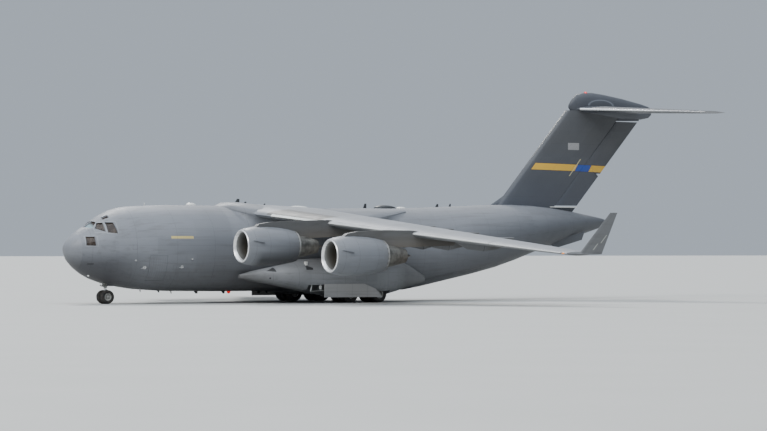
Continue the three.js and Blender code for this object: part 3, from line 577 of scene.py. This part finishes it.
def turned(bm, profile, centre, axis, steps):
    """Spins a profile of pairs, distance along the axis and radius, all the way round."""
    axis = Vector(axis)
    side = axis.orthogonal().normalized()
    points = [bm.verts.new(centre + axis * along + side * radius) for along, radius in profile]
    edges = [bm.edges.new(pair) for pair in zip(points, points[1:])]
    full = {"cent": centre, "axis": axis, "angle": 2 * math.pi, "steps": steps, "use_merge": True}
    bmesh.ops.spin(bm, geom=points + edges, **full)


beacons = bmesh.new()
foot, normal = belly(13.59)
bowl = [(-0.02, 0.0), (-0.02, 0.075), (0.03, 0.07), (0.08, 0.05), (0.1, 0.0)]
turned(beacons, bowl, foot, (0, 0, -1), 24)
piece("red_beacons", beacons, red_lens, "airframe", 30)

# Each wing half is a swept box of machined skins. Slats of bare and painted metal run along
# its leading edge, spoilers, flaps and an aileron along its rear, and a winglet is at its tip.
wing_tone = grey(0.24, -0.04, 0.05)
wing_droop = 0.1328
slat_part = 0.13
rib_pitch = 0.92


def wing_fraction(x, y):
    """Distance behind the leading edge, as a part of the chord there."""
    out = abs(y)
    chord = 5.625 - out * 0.3356
    return (x + 7.01 - out * 0.58) / chord


def upper_skin(out, z):
    """1 on the upper side of the wing."""
    return z + out * wing_droop > 3.55


def wing_panels(x, y, z):
    c = wing_fraction(x, y)
    out = abs(y)
    ribs = lines(out + 0.2, rib_pitch, 0.006) * (c > slat_part)
    slat_ends = either(within(out, 3.78, 3.8), within(out, 6.95, 6.97), within(out, 9.9, 9.92))
    slat_rear = within(c, slat_part - 0.001, slat_part + 0.001)
    chords = either(slat_rear, within(c, 0.3, 0.3015), within(c, 0.465, 0.4665))
    spoiler = framed(c, out, (0.6, 0.712, 2.7, 8.5), 0.0022)
    spoiler = either(spoiler, within(c, 0.6, 0.712) * lines(out + 0.29, 1.45, 0.008))
    seams = either(ribs, slat_ends * (c < slat_part), chords, spoiler)
    return seams, joined(number(out + 0.66, rib_pitch), number(c, 0.1665), upper_skin(out, z))


def wing_marks(x, y, z, place, colour):
    c = wing_fraction(x, y)
    out = abs(y)
    # Painted shade darkens the underside, most of all under the flaps, and the innermost slat's upper side
    # is darker.
    under = soft(z * -1.0 - out * wing_droop, -3.56, -3.48) * (c > 0.03)
    under = under * (soft(c, 0.7, 0.8) * 0.35 + 0.5)
    colour = tint(under, colour, (0.055, 0.052, 0.045, 1))
    dark_slat_patch = within(c, -0.05, 0.2) * within(out, 1.9, 3.9) * upper_skin(out, z)
    colour = tint(dark_slat_patch * 0.8, colour, (0.06, 0.056, 0.048, 1))
    # Rain wears the leading edge to bare metal, brightest near the hull.
    edge = cloud(place, 0.2, 3) * 0.008 + 0.012
    bare = (c < edge) * within(out, 2.08, 12.35)
    inner = soft(out * -1.0, -3.9, -3.0) * 0.4
    bare = bare * (inner + 0.6)
    colour = tint(bare, colour, (0.62, 0.61, 0.57, 1))
    # A dark walkway lies over the root, and soot behind the engines.
    walk = within(c, 0.16, 0.5) * within(out, 1.9, 3.6) * upper_skin(out, z)
    colour = tint(walk * 0.3, colour, (0.1, 0.1, 0.105, 1))
    soot = soft(cloud(place, 0.3, 5, (0.15, 1, 1)), 0.45, 0.8) * (c > 0.5)
    for spot in (4.1, 7.15):
        soot_here = soot * soft(0.5 - abs(out - spot), 0.0, 0.4)
        colour = tint(soot_here * 0.5, colour, soot_colour)
    return colour, bare


wing_paint = aircraft_paint("wing_paint", wing_tone, wing_panels, wing_marks, 0.3, 0.46)


winglet_sweep = 0.76


def winglet_panels(x, y, z):
    slant = x - z * winglet_sweep
    seams = either(lines(slant, 0.41, 0.006), lines(z, 0.72, 0.006))
    return seams, joined(number(slant, 0.41), number(z, 0.72), 0.0)


def winglet_marks(x, y, z, place, colour):
    slant = x - z * winglet_sweep
    strips = within(slant, -0.04, 0.0) * within(z, 2.22, 2.5)
    strips = either(strips, within(slant, -0.16, -0.12) * within(z, 1.98, 2.2))
    return tint(strips * 0.7, colour, (0.55, 0.55, 0.5, 1)), None


winglet_paint = aircraft_paint("winglet_paint", grey(0.15, -0.02, 0.02), winglet_panels, winglet_marks)
for _, label in sides:
    dress(f"wing_{label}", wing_paint, 58)
    for surface_name in ("flap_inboard", "flap_outboard", "aileron"):
        dress(f"{surface_name}_{label}", wing_paint, 50)
    dress(f"winglet_{label}", winglet_paint, 50)

# A coloured lamp under moulded glass is let into the leading edge at each tip, orange to port
# and green to starboard.
for (side, label), tip_lens in zip(sides, (orange_lens, green_lens)):
    lamps = bmesh.new()
    foot, normal = on_skin(f"wing_{label}", at(20, side * 24.9, 3.72), (1, 0, 0))
    made = bmesh.ops.create_uvsphere(lamps, u_segments=20, v_segments=10, radius=1.0)["verts"]
    bmesh.ops.scale(lamps, vec=(0.035, 0.075, 0.03), verts=made)
    bmesh.ops.translate(lamps, verts=made, vec=foot + Vector((0.014, 0, 0)))
    piece(f"tip_lamp_{label}", lamps, tip_lens, "airframe", 40)

# Each engine hangs ahead of the wing on a pylon. A polished inlet ring and a painted fan cowl
# stand round the fan, and the core behind it ends in a nozzle that is stained by heat.
duct_radius = 1.1  # full size, as the distances behind the lip are
fan_station = 1.9
nozzle_edge = 4.26
engines = [  # name, lip station, axis height, spanwise station
    ("outer_port", 14.12, 3.53, -14.3),
    ("inner_port", 10.25, 4.23, -8.2),
    ("inner_starboard", 10.25, 4.23, 8.2),
    ("outer_starboard", 14.12, 3.53, 14.3),
]


def around(engine, x, y, z):
    """Full-size distance behind the lip, radius from the axis, and angle round it."""
    _, lip, height, station = engine
    along = x * 2 + (half_length - lip)
    across = y * 2 - station
    rise = z * 2 - height
    radius = (across * across + rise * rise).maths("SQRT")
    return along, radius, rise.maths("ARCTAN2", across)


def cowl_paint(engine):
    inner = "inner" in engine[0]

    def panels(x, y, z):
        along, radius, angle = around(engine, x, y, z)
        outside = radius > duct_radius
        rings = [within(along, place, place + 0.015) for place in (0.62, 1.72, 3.35)]
        long_seams = either(within(abs(angle + 1.57), 0.0, 0.006), lines(angle, 1.047, 0.008))
        latch = framed(along, angle, (2.1, 2.6, -0.25, 0.1), 0.008)
        seams = either(*rings, long_seams * (along > 0.62), latch) * outside
        return seams, joined(number(along, 1.6), number(angle, 1.047), outside)

    def marks(x, y, z, place, colour):
        along, radius, angle = around(engine, x, y, z)
        outside = radius > duct_radius
        inside = radius < duct_radius
        # Perforated sound liner ahead of the fan, with painted light near the lip and painted shade deeper
        # in, and bare duct wall behind it.
        liner = inside * within(along, 0.33, fan_station)
        pores = lines(along, 0.06, 0.022) * lines(angle, 0.055, 0.022)
        colour = tint(liner, colour, (0.11, 0.108, 0.1, 1))
        lit_mouth = inside * (1 - soft(along, 0.2, 0.62))
        deep_shade = inside * (along < fan_station) * soft(along, 0.5, 0.9)
        colour = tint(deep_shade * 0.7, colour, (0.055, 0.045, 0.03, 1))
        colour = tint(lit_mouth, colour, (0.2, 0.196, 0.185, 1))
        colour = tint(liner * pores * 0.5, colour, (0.05, 0.05, 0.05, 1))
        duct = (radius < (along - 3.0) * -0.118 + 1.3) * (radius < 1.33) * (along > 1.7)
        colour = tint(duct, colour, (0.06, 0.058, 0.055, 1))
        # Polished lip: narrow outside, wide inside. The nozzle's edge is bare too, and lighter on its upper
        # half as a painted highlight.
        below = engine[2] - z * 2
        depth = soft(below, 0.3, 0.9) * 0.13 + 0.19
        ring = either(along < 0.055, inside * (along < depth))
        nozzle = along > nozzle_edge
        colour = tint(ring, colour, (0.9, 0.9, 0.9, 1))
        # The bare nozzle edge carries a painted highlight on its upper half.
        colour = tint(nozzle * (1 - soft(below, -0.3, 0.5) * 0.6), colour, (0.5, 0.49, 0.47, 1))
        drips = soft(cloud(place, 0.07, 5, (0.1, 1, 1)), 0.5, 0.8) * (angle < -0.9) * (angle > -2.3)
        colour = tint(drips * 0.6 * (along > 0.4), colour, (0.05, 0.045, 0.04, 1))
        soot = soft(along, 3.2, 4.3) * soft(cloud(place, 0.2, 5), 0.3, 0.7) * outside
        colour = tint(soot * 0.4, colour, (0.1, 0.085, 0.065, 1))
        # Painted shade below and behind, darker on the inner engines, and darkest under them.
        cowl_shade = soft(along, 1.2, 4.0) * soft(below, -0.7, 1.0) * outside * (along < nozzle_edge)
        colour = tint(cowl_shade * (0.85 if inner else 0.3), colour, (0.05, 0.052, 0.06, 1))
        if inner:
            underside = soft(below, 0.3, 1.0) * soft(along, 0.5, 1.2) * outside
            colour = tint(underside * 0.9, colour, (0.025, 0.026, 0.03, 1))
        return colour, either(ring, nozzle) * 0.7

    return aircraft_paint(f"cowl_paint_{engine[0]}", grey(0.18, -0.05, 0.05), panels, marks, 0.2, 0.44)


def core_metal(engine):
    """Heat-stained core and nozzle, and the painted pylon above them, its grey darkened as painted shade."""
    name, _, axis_height, station = engine
    material, surface, place = finish(f"core_metal_{name}")
    x, y, z = coordinates(place)
    along, radius, angle = around(engine, x, y, z)
    rise = z * 2 - axis_height
    across = abs(y * 2 - station)
    pylon = either((radius > 0.93) * (rise > 0.0), (across < 0.235) * (rise > 0.55))
    blotch = soft(cloud(place, 0.22, 6), 0.35, 0.7)
    metal = tint(blotch, (0.085, 0.083, 0.077, 1), (0.24, 0.232, 0.21, 1))
    hot = soft(along, 4.6, 6.6) * soft(rise * -1.0, -0.5, 0.5)
    metal = tint(hot * 0.5, metal, (0.13, 0.092, 0.06, 1))
    rings = either(lines(along, 0.52, 0.02), lines(angle, 0.7854, 0.02) * (radius > 0.5))
    metal = tint(rings * 0.5, metal, (0.04, 0.035, 0.03, 1))
    pylon_streak = soft(cloud(place, 0.15, 6, (0.2, 1, 1)), 0.48, 0.75)
    # The pylon's grey is darkened as painted shade, for the wing's shade over it.
    painted = tint(pylon_streak * 0.55, grey(0.095), (0.055, 0.051, 0.045, 1))
    low_stain = soft(along, 3.6, 5.4) * soft(rise * -1.0, -1.6, -0.6)
    painted = tint(low_stain * 0.6, painted, (0.12, 0.1, 0.075, 1))
    pylon_seams = either(lines(along, 1.1, 0.014), lines(z * 2, 0.52, 0.012))
    painted = tint(pylon_seams * 0.5, painted, (0.05, 0.05, 0.05, 1))
    feed(surface, "Base Color", tint(pylon, metal, painted))
    feed(surface, "Metallic", (1 - pylon) * 0.75)
    feed(surface, "Roughness", blotch * 0.2 + 0.38)
    seams = pylon * pylon_seams + (1 - pylon) * rings
    height = (1 - seams) * 0.8 + cloud(place, 0.3, 3) * 0.4
    emboss(surface, height, 0.4, 0.004)
    return material


fan_metal = weathered(
    "fan_blade_metal", (0.2, 0.18, 0.15, 1), (0.34, 0.31, 0.26, 1), (0.06, 5), (0.4, 0.75), (0.25, 0.3), 0.85
)
spinner_paint = weathered(
    "spinner_paint", (0.12, 0.12, 0.125, 1), (0.3, 0.3, 0.3, 1), (0.03, 6), (0.55, 0.7), (0.35, 0.3), 0.2
)
blade_count = 36
bolt_count = 12
for engine in engines:
    name, lip, height, station = engine
    dress(f"nacelle_{name}", cowl_paint(engine), 48)
    dress(f"engine_core_{name}", core_metal(engine), 40)
    hub = at(lip, station, height)
    axis = Vector((1, 0, 0))
    blades = bmesh.new()
    span = bmesh.ops.create_grid(blades, x_segments=4, y_segments=8, size=0.5)["verts"]
    for v in span:
        t = v.co.y + 0.5
        chord = 0.115 + 0.03 * t
        twist = math.radians(32 + 32 * t)
        across = v.co.x * chord
        camber = (0.25 - v.co.x * v.co.x) * 0.02
        reach = 0.15 + 0.345 * t
        v.co = Vector((
            0.585 + across * math.cos(twist) - camber * math.sin(twist),
            across * math.sin(twist) + camber * math.cos(twist),
            reach,
        ))
    bmesh.ops.solidify(blades, geom=blades.faces[:], thickness=0.006)
    bmesh.ops.translate(blades, verts=blades.verts, vec=hub)
    whole = blades.verts[:] + blades.edges[:] + blades.faces[:]
    turn = 2 * math.pi * (blade_count - 1) / blade_count
    bmesh.ops.spin(
        blades, geom=whole, cent=hub, axis=axis, angle=turn, steps=blade_count - 1, use_duplicate=True
    )
    turned(blades, [(0.7, 0.0), (0.7, 0.17), (0.52, 0.165), (0.5, 0.16), (0.5, 0.0)], hub, axis, 40)
    turned(blades, [(0.66, 0.3), (0.66, 0.48), (0.672, 0.48), (0.672, 0.3), (0.66, 0.3)], hub, axis, 40)
    piece(f"fan_blades_{name}", blades, fan_metal, f"fan_{name}", 40, [f"fan_{name}"])
    spinner = bmesh.new()
    nose = [(0.315, 0.0), (0.32, 0.018), (0.345, 0.05), (0.4, 0.094), (0.46, 0.132), (0.5, 0.156)]
    turned(spinner, [*nose, (0.505, 0.0)], hub, axis, 48)
    for i in range(bolt_count):
        bolt = Matrix.Rotation(2 * math.pi * i / bolt_count, 4, "X") @ Vector((0.48, 0, 0.143))
        bar(spinner, hub + bolt, hub + bolt - Vector((0.008, 0, 0)), 0.006, 8)
    piece(f"fan_spinner_{name}", spinner, spinner_paint, f"fan_{name}", 30)

# The T tail is painted a darker grey. The fin carries a yellow band with a blue block, and the
# tailplane runs through a long bullet fairing on top of it.
band_yellow = (0.72, 0.42, 0.035, 1)
band_blue = (0.015, 0.06, 0.33, 1)
band_edging = (0.03, 0.028, 0.02, 1)
fin_sweep = 0.8606


def fin_panels(x, y, z):
    slant = x - z * fin_sweep
    seams = either(lines(z + 0.2, 1.08, 0.006), lines(slant, 0.93, 0.006))
    return seams, joined(number(z + 0.74, 1.08), number(slant + 0.465, 0.93), y > 0)


def fin_marks(x, y, z, place, colour):
    # The band falls a little towards the rear. A thin dark line runs along both its edges.
    level = z + (x - 7.24) * 0.0214
    aft = x - z * fin_sweep
    band = within(level, 5.225, 5.488) * (aft > 2.69)
    edging = within(level, 5.211, 5.502) * (aft > 2.675) - band
    colour = tint(edging, colour, band_edging)
    colour = tint(band, colour, band_yellow)
    upright = x - (z - 5.3) * 0.6
    block = within(upright, 9.38, 10.1)
    block_edge = within(upright, 9.365, 10.115) - block
    colour = tint(band * block_edge, colour, band_edging)
    colour = tint(band * block, colour, band_blue)
    # A pale chalked streak crosses the band, and a bare pale patch lies high on the fin.
    slant = x - (z - 5.15) * 0.811
    streak = within(slant, 9.15, 9.195) * within(z, 4.98, 5.67)
    colour = tint(streak * 0.85, colour, (0.62, 0.55, 0.32, 1))
    patch = within(x, 8.95, 9.5) * within(z, 6.04, 6.32)
    stripe = lines(z - 6.04, 0.043, 0.02)
    colour = tint(patch * (stripe * 0.5 + 0.35), colour, (0.42, 0.41, 0.41, 1))
    low = soft(z * -1.0, -6.4, -3.8)
    colour = tint(low * 0.35, colour, (0.035, 0.05, 0.085, 1))
    return colour, None


fin_paint = aircraft_paint("fin_paint", grey(0.068, -0.03, 0.06), fin_panels, fin_marks, 0.15, 0.46)


tailplane_sweep = 0.5755
tailplane_droop = 0.0535


def tailplane_panels(x, y, z):
    out = abs(y)
    slant = x - out * tailplane_sweep
    seams = either(lines(out, 0.9, 0.006), lines(slant, 0.62, 0.006))
    upper = z + out * tailplane_droop > 7.715
    return seams, joined(number(out, 0.9), number(slant, 0.62), upper)


def tailplane_marks(x, y, z, place, colour):
    # The leading edge is worn to bare metal, and less so towards the tips.
    out = abs(y)
    bare = (x - out * tailplane_sweep < 9.38) * (out > 0.25) * (1 - soft(out, 2.4, 3.6) * 0.55)
    bare = bare * within(z + out * tailplane_droop, 7.6, 7.83)
    colour = tint(bare, colour, (0.6, 0.6, 0.6, 1))
    # Rim of the fairing where the tailplane goes through the bullet.
    arch = (x - 10.56) * (x - 10.56) / 0.42 + (z - 7.86) * (z - 7.86) / 0.062
    rim = within(arch, 0.72, 1.0) * (z > 7.86) * (out < 0.3)
    colour = tint(rim * 0.35, colour, (0.3, 0.33, 0.38, 1))
    # The tip caps are painted lighter, as painted light on their shaded sides.
    return tint((out > 4.93) * 0.7, colour, (0.3, 0.3, 0.3, 1)), bare


tailplane_paint = aircraft_paint(
    "tailplane_paint", grey(0.068, -0.08, 0.12), tailplane_panels, tailplane_marks, 0.15, 0.46
)
for name in ("fin", "rudder_lower", "rudder_upper"):
    dress(name, fin_paint, 58)
for name in ("tailplane", "elevator_port", "elevator_starboard"):
    dress(name, tailplane_paint, 50)

# A red beacon lamp is screwed to the top of the bullet fairing, and a moulded seal lies under
# the foot of the lower rudder.
fin_top = bmesh.new()
foot, normal = on_skin("tailplane", at(46.4, 0, 30), (0, 0, -1))
beacon_profile = [(-0.02, 0.0), (-0.02, 0.07), (0.02, 0.062), (0.05, 0.04), (0.062, 0.0)]
turned(fin_top, beacon_profile, foot - Vector((0, 0, 0.01)), (0, 0, 1), 24)
piece("fin_beacon", fin_top, red_lens, "airframe", 30)


def brick(bm, low, high, edge=0.0, turn=None):
    """A block between two corners, its edges rounded, and turned about its middle."""
    low, high = Vector(low), Vector(high)
    middle = Matrix.Translation((low + high) / 2)
    shape = middle @ (turn or Matrix.Identity(4)) @ Matrix.Diagonal((*(high - low), 1))
    made = bmesh.ops.create_cube(bm, size=1, matrix=shape)["verts"]
    if edge:
        round_edges(bm, made, edge)
    return made


seal = bmesh.new()
brick(seal, at(42.7, -0.36, 7.4), at(45.35, 0.36, 7.46), 0.01)
piece("rudder_foot_seal", seal, white_cap, "airframe", 40)

# A narrow keel of formed sheet is riveted under the bullet fairing, and covers the head of the
# upper rudder.
keel = bmesh.new()
for v in brick(keel, at(49.05, -0.1, 14.53), at(51.75, 0.1, 14.8)):
    if v.co.x > 12:
        v.co.y *= 0.4
        v.co.z += 0.03
piece("bullet_keel", keel, tailplane_paint, "airframe", 40)

# Riveted end ribs close the rudders where they meet, with a finger's width left between them,
# so that each can swing on its own.
rudder_line = Vector((0.658317, 0, 0.752741))
for name, out in (("rudder_lower", 1), ("rudder_upper", -1)):
    rib = bmesh.new()
    rib.from_mesh(nodes[name].data)
    rib.normal_update()
    others = [face for face in rib.faces if face.normal.dot(rudder_line) * out < 0.9999]
    bmesh.ops.delete(rib, geom=others, context="FACES")
    raised = bmesh.ops.extrude_face_region(rib, geom=rib.faces[:])["geom"]
    moved = [part for part in raised if isinstance(part, bmesh.types.BMVert)]
    bmesh.ops.translate(rib, verts=moved, vec=rudder_line * out * 0.022)
    piece(f"{name}_end_rib", rib, fin_paint, name, 40)

# The gear pods are sheet metal fairings on the hull's sides. Their doors hang open, and three
# wheels abreast stand on each of two legs in either pod.
def pod_panels(x, y, z):
    seams = either(lines(x + 0.2, 0.94, 0.006), lines(z + 0.12, 0.62, 0.006))
    return seams, joined(number(x + 0.67, 0.94), number(z + 0.43, 0.62), y > 0)


def pod_marks(x, y, z, place, colour):
    # Two air inlets and a drain hole, then painted shade on the upper front and towards both ends, and
    # splashes low down.
    inlet = within(x, -6.06, -5.71) * (z < (x + 6.06) * 0.4 + 1.19) * (z > 1.2 - (x + 6.06) * 0.1)
    drain = ((x + 5.95) * (x + 5.95) + (z - 0.93) * (z - 0.93)) < 0.001
    intake = within(x, -4.62, -4.35) * (z > 1.24) * (z < 1.42 - (x + 4.62) * 0.4)
    colour = tint(either(inlet, drain, intake), colour, hole_colour)
    shade = soft(z, 1.12, 1.38) * soft(x, -6.4, -5.2)
    colour = tint(shade * 0.45, colour, (0.075, 0.077, 0.08, 1))
    ends = either(soft(x * -1.0, 5.5, 6.6) * 0.7, soft(x, -1.2, -0.1) * 0.8)
    colour = tint(ends, colour, (0.055, 0.053, 0.05, 1))
    splash = soft(cloud(place, 0.14, 6), 0.45, 0.7) * soft(z * -1.0, -0.9, -0.3)
    return tint(splash * 0.4, colour, (0.07, 0.062, 0.05, 1)), None


pod_paint = aircraft_paint("pod_paint", grey(0.27, -0.02, 0.02), pod_panels, pod_marks)

gear_white, gear_dirt = (0.36, 0.36, 0.345, 1), (0.14, 0.125, 0.1, 1)
cast = (0.03, 5, 0.25, 0.003)
gear_paint = weathered(
    "gear_paint", gear_white, gear_dirt, (0.1, 6), (0.45, 0.72), (0.35, 0.35), coat=0.2, grain=cast
)


def door_panels(x, y, z):
    seams = either(lines(x + 0.1, 0.66, 0.006), lines(z + 0.2, 0.31, 0.005))
    return seams, joined(number(x, 0.66), 0.0, 0.0)


door_paint = aircraft_paint("door_paint", grey(0.43, 0.02, 0), door_panels, None, 0.3, 0.5)
for side, label in sides:
    dress(f"gear_pod_{label}", pod_paint, 40)
    dress(f"gear_door_{label}", door_paint, 40)
    dress(f"main_gear_legs_{label}", gear_paint, 40)
    pod_lamp = bmesh.new()
    brick(pod_lamp, at(17.3, side * 5.1 - 0.12, 2.72), at(17.5, side * 5.1 + 0.12, 3.1), 0.012)
    piece(f"pod_lamp_{label}", pod_lamp, white_cap, "airframe", 40)
    rods = bmesh.new()
    knee = at(17.7, side * 5.3, 0.88)
    bar(rods, at(18.0, side * 5.2, 2.14), knee, 0.026, 12)
    bar(rods, knee, at(18.72, side * 5.68, 0.95), 0.006, 8)
    brick(rods, at(18.32, side * 5.5 - 0.04, 1.02), at(18.52, side * 5.5 + 0.04, 1.3), 0.008)
    bar(rods, at(18.42, side * 5.5, 1.2), at(18.5, side * 5.3, 2.14), 0.016, 10)
    piece(f"gear_door_rods_{label}", rods, white_cap, "airframe", 40)

# The wheels are forged in two halves that are bolted together, and painted. The tyres are
# ribbed rubber on nylon plies, dusty from the ground.
rubber_black, rubber_dust = (0.016, 0.016, 0.017, 1), (0.07, 0.06, 0.048, 1)
moulded = (0.006, 3, 0.3, 0.002)
rubber = weathered(
    "tyre_rubber", rubber_black, rubber_dust, (0.09, 6), (0.42, 0.7), (0.78, 0.12), grain=moulded
)
rim_paint = weathered(
    "rim_paint", (0.42, 0.42, 0.4, 1), (0.13, 0.11, 0.09, 1), (0.05, 6), (0.4, 0.7), (0.35, 0.3), 0.1
)


def tyre(bm, middle, radius, width, rim):
    """A ribbed aircraft tyre: bulged sides, round shoulders, and four grooves round its tread."""
    half = width / 2
    profile = [(-0.72 * half, rim), (-0.9 * half, rim + 0.03), (-half, rim + 0.42 * (radius - rim))]
    profile += [(-0.97 * half, rim + 0.65 * (radius - rim)), (-0.86 * half, radius * 0.94)]
    profile += [(-0.74 * half, radius * 0.985), (-0.6 * half, radius)]
    for groove in (-0.42, -0.14, 0.14, 0.42):
        for step, depth in ((-0.035, 0), (-0.025, 0.018), (0.025, 0.018), (0.035, 0)):
            profile.append(((groove + step) * half, radius - depth * radius))
    profile += [(-along, r) for along, r in profile[6::-1]]
    profile.append(profile[0])
    turned(bm, profile, middle, (0, 1, 0), 64)


def rim_disc(bm, middle, rim, width):
    """A wheel: flanges, a dished web with the heads of its bolts, and a hub cap."""
    half = width / 2
    face = [(-0.74 * half, rim + 0.004), (-0.8 * half, rim + 0.012), (-0.8 * half, rim - 0.012)]
    face += [(-0.66 * half, rim - 0.02), (-0.5 * half, rim * 0.8), (-0.3 * half, rim * 0.66)]
    face += [(-0.34 * half, rim * 0.42), (-0.55 * half, rim * 0.36)]
    face += [(-0.6 * half, rim * 0.2), (-0.6 * half, 0.0)]
    turned(bm, face[::-1] + [(-along, r) for along, r in face], middle, (0, 1, 0), 48)
    for side in (-1, 1):
        for i in range(bolt_count):
            spoke = Matrix.Rotation(2 * math.pi * i / bolt_count, 4, "Y") @ Vector((rim * 0.6, 0, 0))
            foot = middle + spoke + Vector((0, side * 0.28 * half, 0))
            bar(bm, foot, foot + Vector((0, side * 0.12 * half, 0)), rim * 0.055, 8)


main_axles = (21.15, 23.65)
strut_track = 3.87
main_radius, main_width, main_rim = 0.3175, 0.2665, 0.15
for side, label in sides:
    for station, rank in zip(main_axles, ("front", "rear")):
        tyres = bmesh.new()
        rims = bmesh.new()
        for track in (3.45, 4.29, 5.13):
            middle = at(station, side * track, main_radius * 2)
            tyre(tyres, middle, main_radius, main_width, main_rim)
            rim_disc(rims, middle, main_rim, main_width)
        ends = [at(station, side * track, main_radius * 2) for track in (3.2, 5.35)]
        bar(rims, *ends, 0.042, 20)
        body = f"main_wheels_{rank}_{label}"
        piece(f"main_tyres_{rank}_{label}", tyres, rubber, body, 30, [body])
        piece(f"main_rims_{rank}_{label}", rims, rim_paint, body, 30)
    legs = bmesh.new()
    for station in main_axles:
        across = side * strut_track
        bar(legs, at(station, across, 1.45), at(station, across, 2.12), 0.098, 24)
        bar(legs, at(station, across, 1.42), at(station, across, 1.5), 0.106, 24)
        knee = at(station + 0.55, across, 1.22)
        bar(legs, at(station + 0.1, across, 1.62), knee, 0.022, 10)
        bar(legs, knee, at(station + 0.08, across, 0.86), 0.022, 10)
        bar(legs, at(station - 0.1, across, 1.6), at(station - 0.75, across, 2.05), 0.035, 12)
        bar(legs, at(station, side * 3.6, 0.79), at(station, side * 4.14, 0.79), 0.03, 14)
    piece(f"main_leg_fittings_{label}", legs, gear_paint, "airframe", 40)
    hinges = bmesh.new()
    for station in (18.9, 20.0, 21.1, 22.0):
        low = at(station, side * 5.5 - 0.06, 1.36)
        high = at(station + 0.14, side * 5.5 + 0.14, 1.5)
        brick(hinges, low, high, 0.006)
    piece(f"gear_door_hinges_{label}", hinges, gear_paint, "airframe", 40)

# The nose gear is a polished strut in a painted housing, with scissor links, a steering collar,
# two tyres and a taxi lamp; two narrow doors hang beside its bay.
dress("nose_gear_leg", gear_paint, 40)
dress("nose_gear_fork", steel, 40)
nose_tyres = bmesh.new()
nose_rims = bmesh.new()
nose_axle = 3.35
nose_radius, nose_width, nose_rim = 0.254, 0.203, 0.125
for side, _ in sides:
    middle = at(nose_axle, side * 0.33, nose_radius * 2)
    tyre(nose_tyres, middle, nose_radius, nose_width, nose_rim)
    rim_disc(nose_rims, middle, nose_rim, nose_width)
ends = [at(nose_axle, across, nose_radius * 2) for across in (-0.5, 0.5)]
bar(nose_rims, *ends, 0.04, 20)
piece("nose_tyres", nose_tyres, rubber, "nose_wheels", 30, ["nose_wheels"])
piece("nose_rims", nose_rims, rim_paint, "nose_wheels", 30)
collar = bmesh.new()
for foot, length, hole, edge in ((1.2, 0.07, 0.06, 0.075), (1.4, 0.2, 0.056, 0.064)):
    ring = [(0, hole), (0, edge), (length, edge), (length, hole), (0, hole)]
    turned(collar, ring, at(nose_axle, 0, foot), (0, 0, 1), 28)
for side, _ in sides:
    bar(collar, at(3.25, side * 0.16, 1.28), at(3.0, side * 0.2, 1.36), 0.02, 12)
    bar(collar, at(3.1, side * 0.12, 1.5), at(2.7, side * 0.3, 1.75), 0.018, 10)
piece("nose_gear_collar", collar, gear_paint, "airframe", 40)
links = bmesh.new()
for side, _ in sides:
    knee = at(3.72, side * 0.05, 0.88)
    bar(links, at(3.4, side * 0.07, 1.06), knee, 0.014, 10)
    bar(links, knee, at(3.42, side * 0.06, 0.7), 0.014, 10)
bar(links, at(3.72, -0.1, 0.88), at(3.72, 0.1, 0.88), 0.016, 10)
piece("nose_gear_links", links, gear_paint, "nose_gear_fork", 40)
lamp = bmesh.new()
turned(lamp, [(0.0, 0.0), (0.0, 0.045), (-0.03, 0.05), (-0.035, 0.0)], at(3.0, 0, 1.45), (1, 0, 0), 24)
foot, normal = belly(1.75, -0.5)
turned(lamp, [(-0.02, 0.0), (-0.02, 0.04), (0.02, 0.035), (0.028, 0.0)], foot, normal, 24)
piece("nose_lamps", lamp, clear_lens, "airframe", 30)
bay_doors = bmesh.new()
for side, _ in sides:
    tilt = Matrix.Rotation(side * math.radians(-8), 4, "X")
    brick(bay_doors, at(3.3, side * 0.42 - 0.012, 1.3), at(3.85, side * 0.42 + 0.012, 1.6), 0.005, tilt)
piece("nose_bay_doors", bay_doors, hull_paint, "airframe", 40)

# The stage is one pale floor. It is lit by a wide pale sky, a broad light overhead, a narrower
# one from behind the far side, and a weak one from ahead of the near side.
ground = bmesh.new()
bmesh.ops.create_grid(ground, x_segments=2, y_segments=2, size=900)
floor_mesh = bpy.data.meshes.new("pale_floor")
ground.to_mesh(floor_mesh)
ground.free()
floor = bpy.data.objects.new("pale_floor", floor_mesh)
bpy.context.scene.collection.objects.link(floor)
floor_finish, floor_surface, floor_place = finish("pale_floor")
floor_surface.inputs["Roughness"].default_value = 0.7
floor_colour = tint(cloud(floor_place, 3.0), (0.4, 0.4, 0.385, 1), (0.44, 0.435, 0.42, 1))
feed(floor_surface, "Base Color", floor_colour)
floor_mesh.materials.append(floor_finish)

world = bpy.data.worlds.new("sky")
bpy.context.scene.world = world
world.use_nodes = True
world.node_tree.nodes["Background"].inputs["Color"].default_value = (0.68, 0.77, 0.88, 1)
world.node_tree.nodes["Background"].inputs["Strength"].default_value = 0.62


def soft_sun(name, energy, spread, colour, towards):
    sun = bpy.data.lights.new(name, "SUN")
    sun.energy = energy
    sun.angle = math.radians(spread)
    sun.color = colour
    sun_object = bpy.data.objects.new(name, sun)
    sun_object.rotation_euler = Vector(towards).to_track_quat("Z", "Y").to_euler()
    bpy.context.scene.collection.objects.link(sun_object)


soft_sun("overhead_light", 3.1, 80, (0.86, 0.93, 1.0), (-0.15, -0.25, 1.0))
soft_sun("back_light", 2.2, 12, (1.0, 0.99, 0.96), (0.2, 0.7, 0.72))
soft_sun("front_light", 1.3, 20, (1.0, 0.97, 0.92), (-0.75, -0.3, 0.62))

# The camera looks from ahead of the port side, almost level with the ground. Its length and
# bearing were fitted to places along the aircraft.
eye = bpy.data.cameras.new("camera")
eye.lens = 131.91
eye.sensor_width = 36
eye.clip_end = 2000
camera = bpy.data.objects.new("camera", eye)
camera.location = (-56.03, -93.832, 1.934)
bearing, rise = math.radians(31), 0.0127
look = Vector((math.sin(bearing) * math.cos(rise), math.cos(bearing) * math.cos(rise), math.sin(rise)))
camera.rotation_euler = look.to_track_quat("-Z", "Y").to_euler()
bpy.context.scene.collection.objects.link(camera)
bpy.context.scene.camera = camera
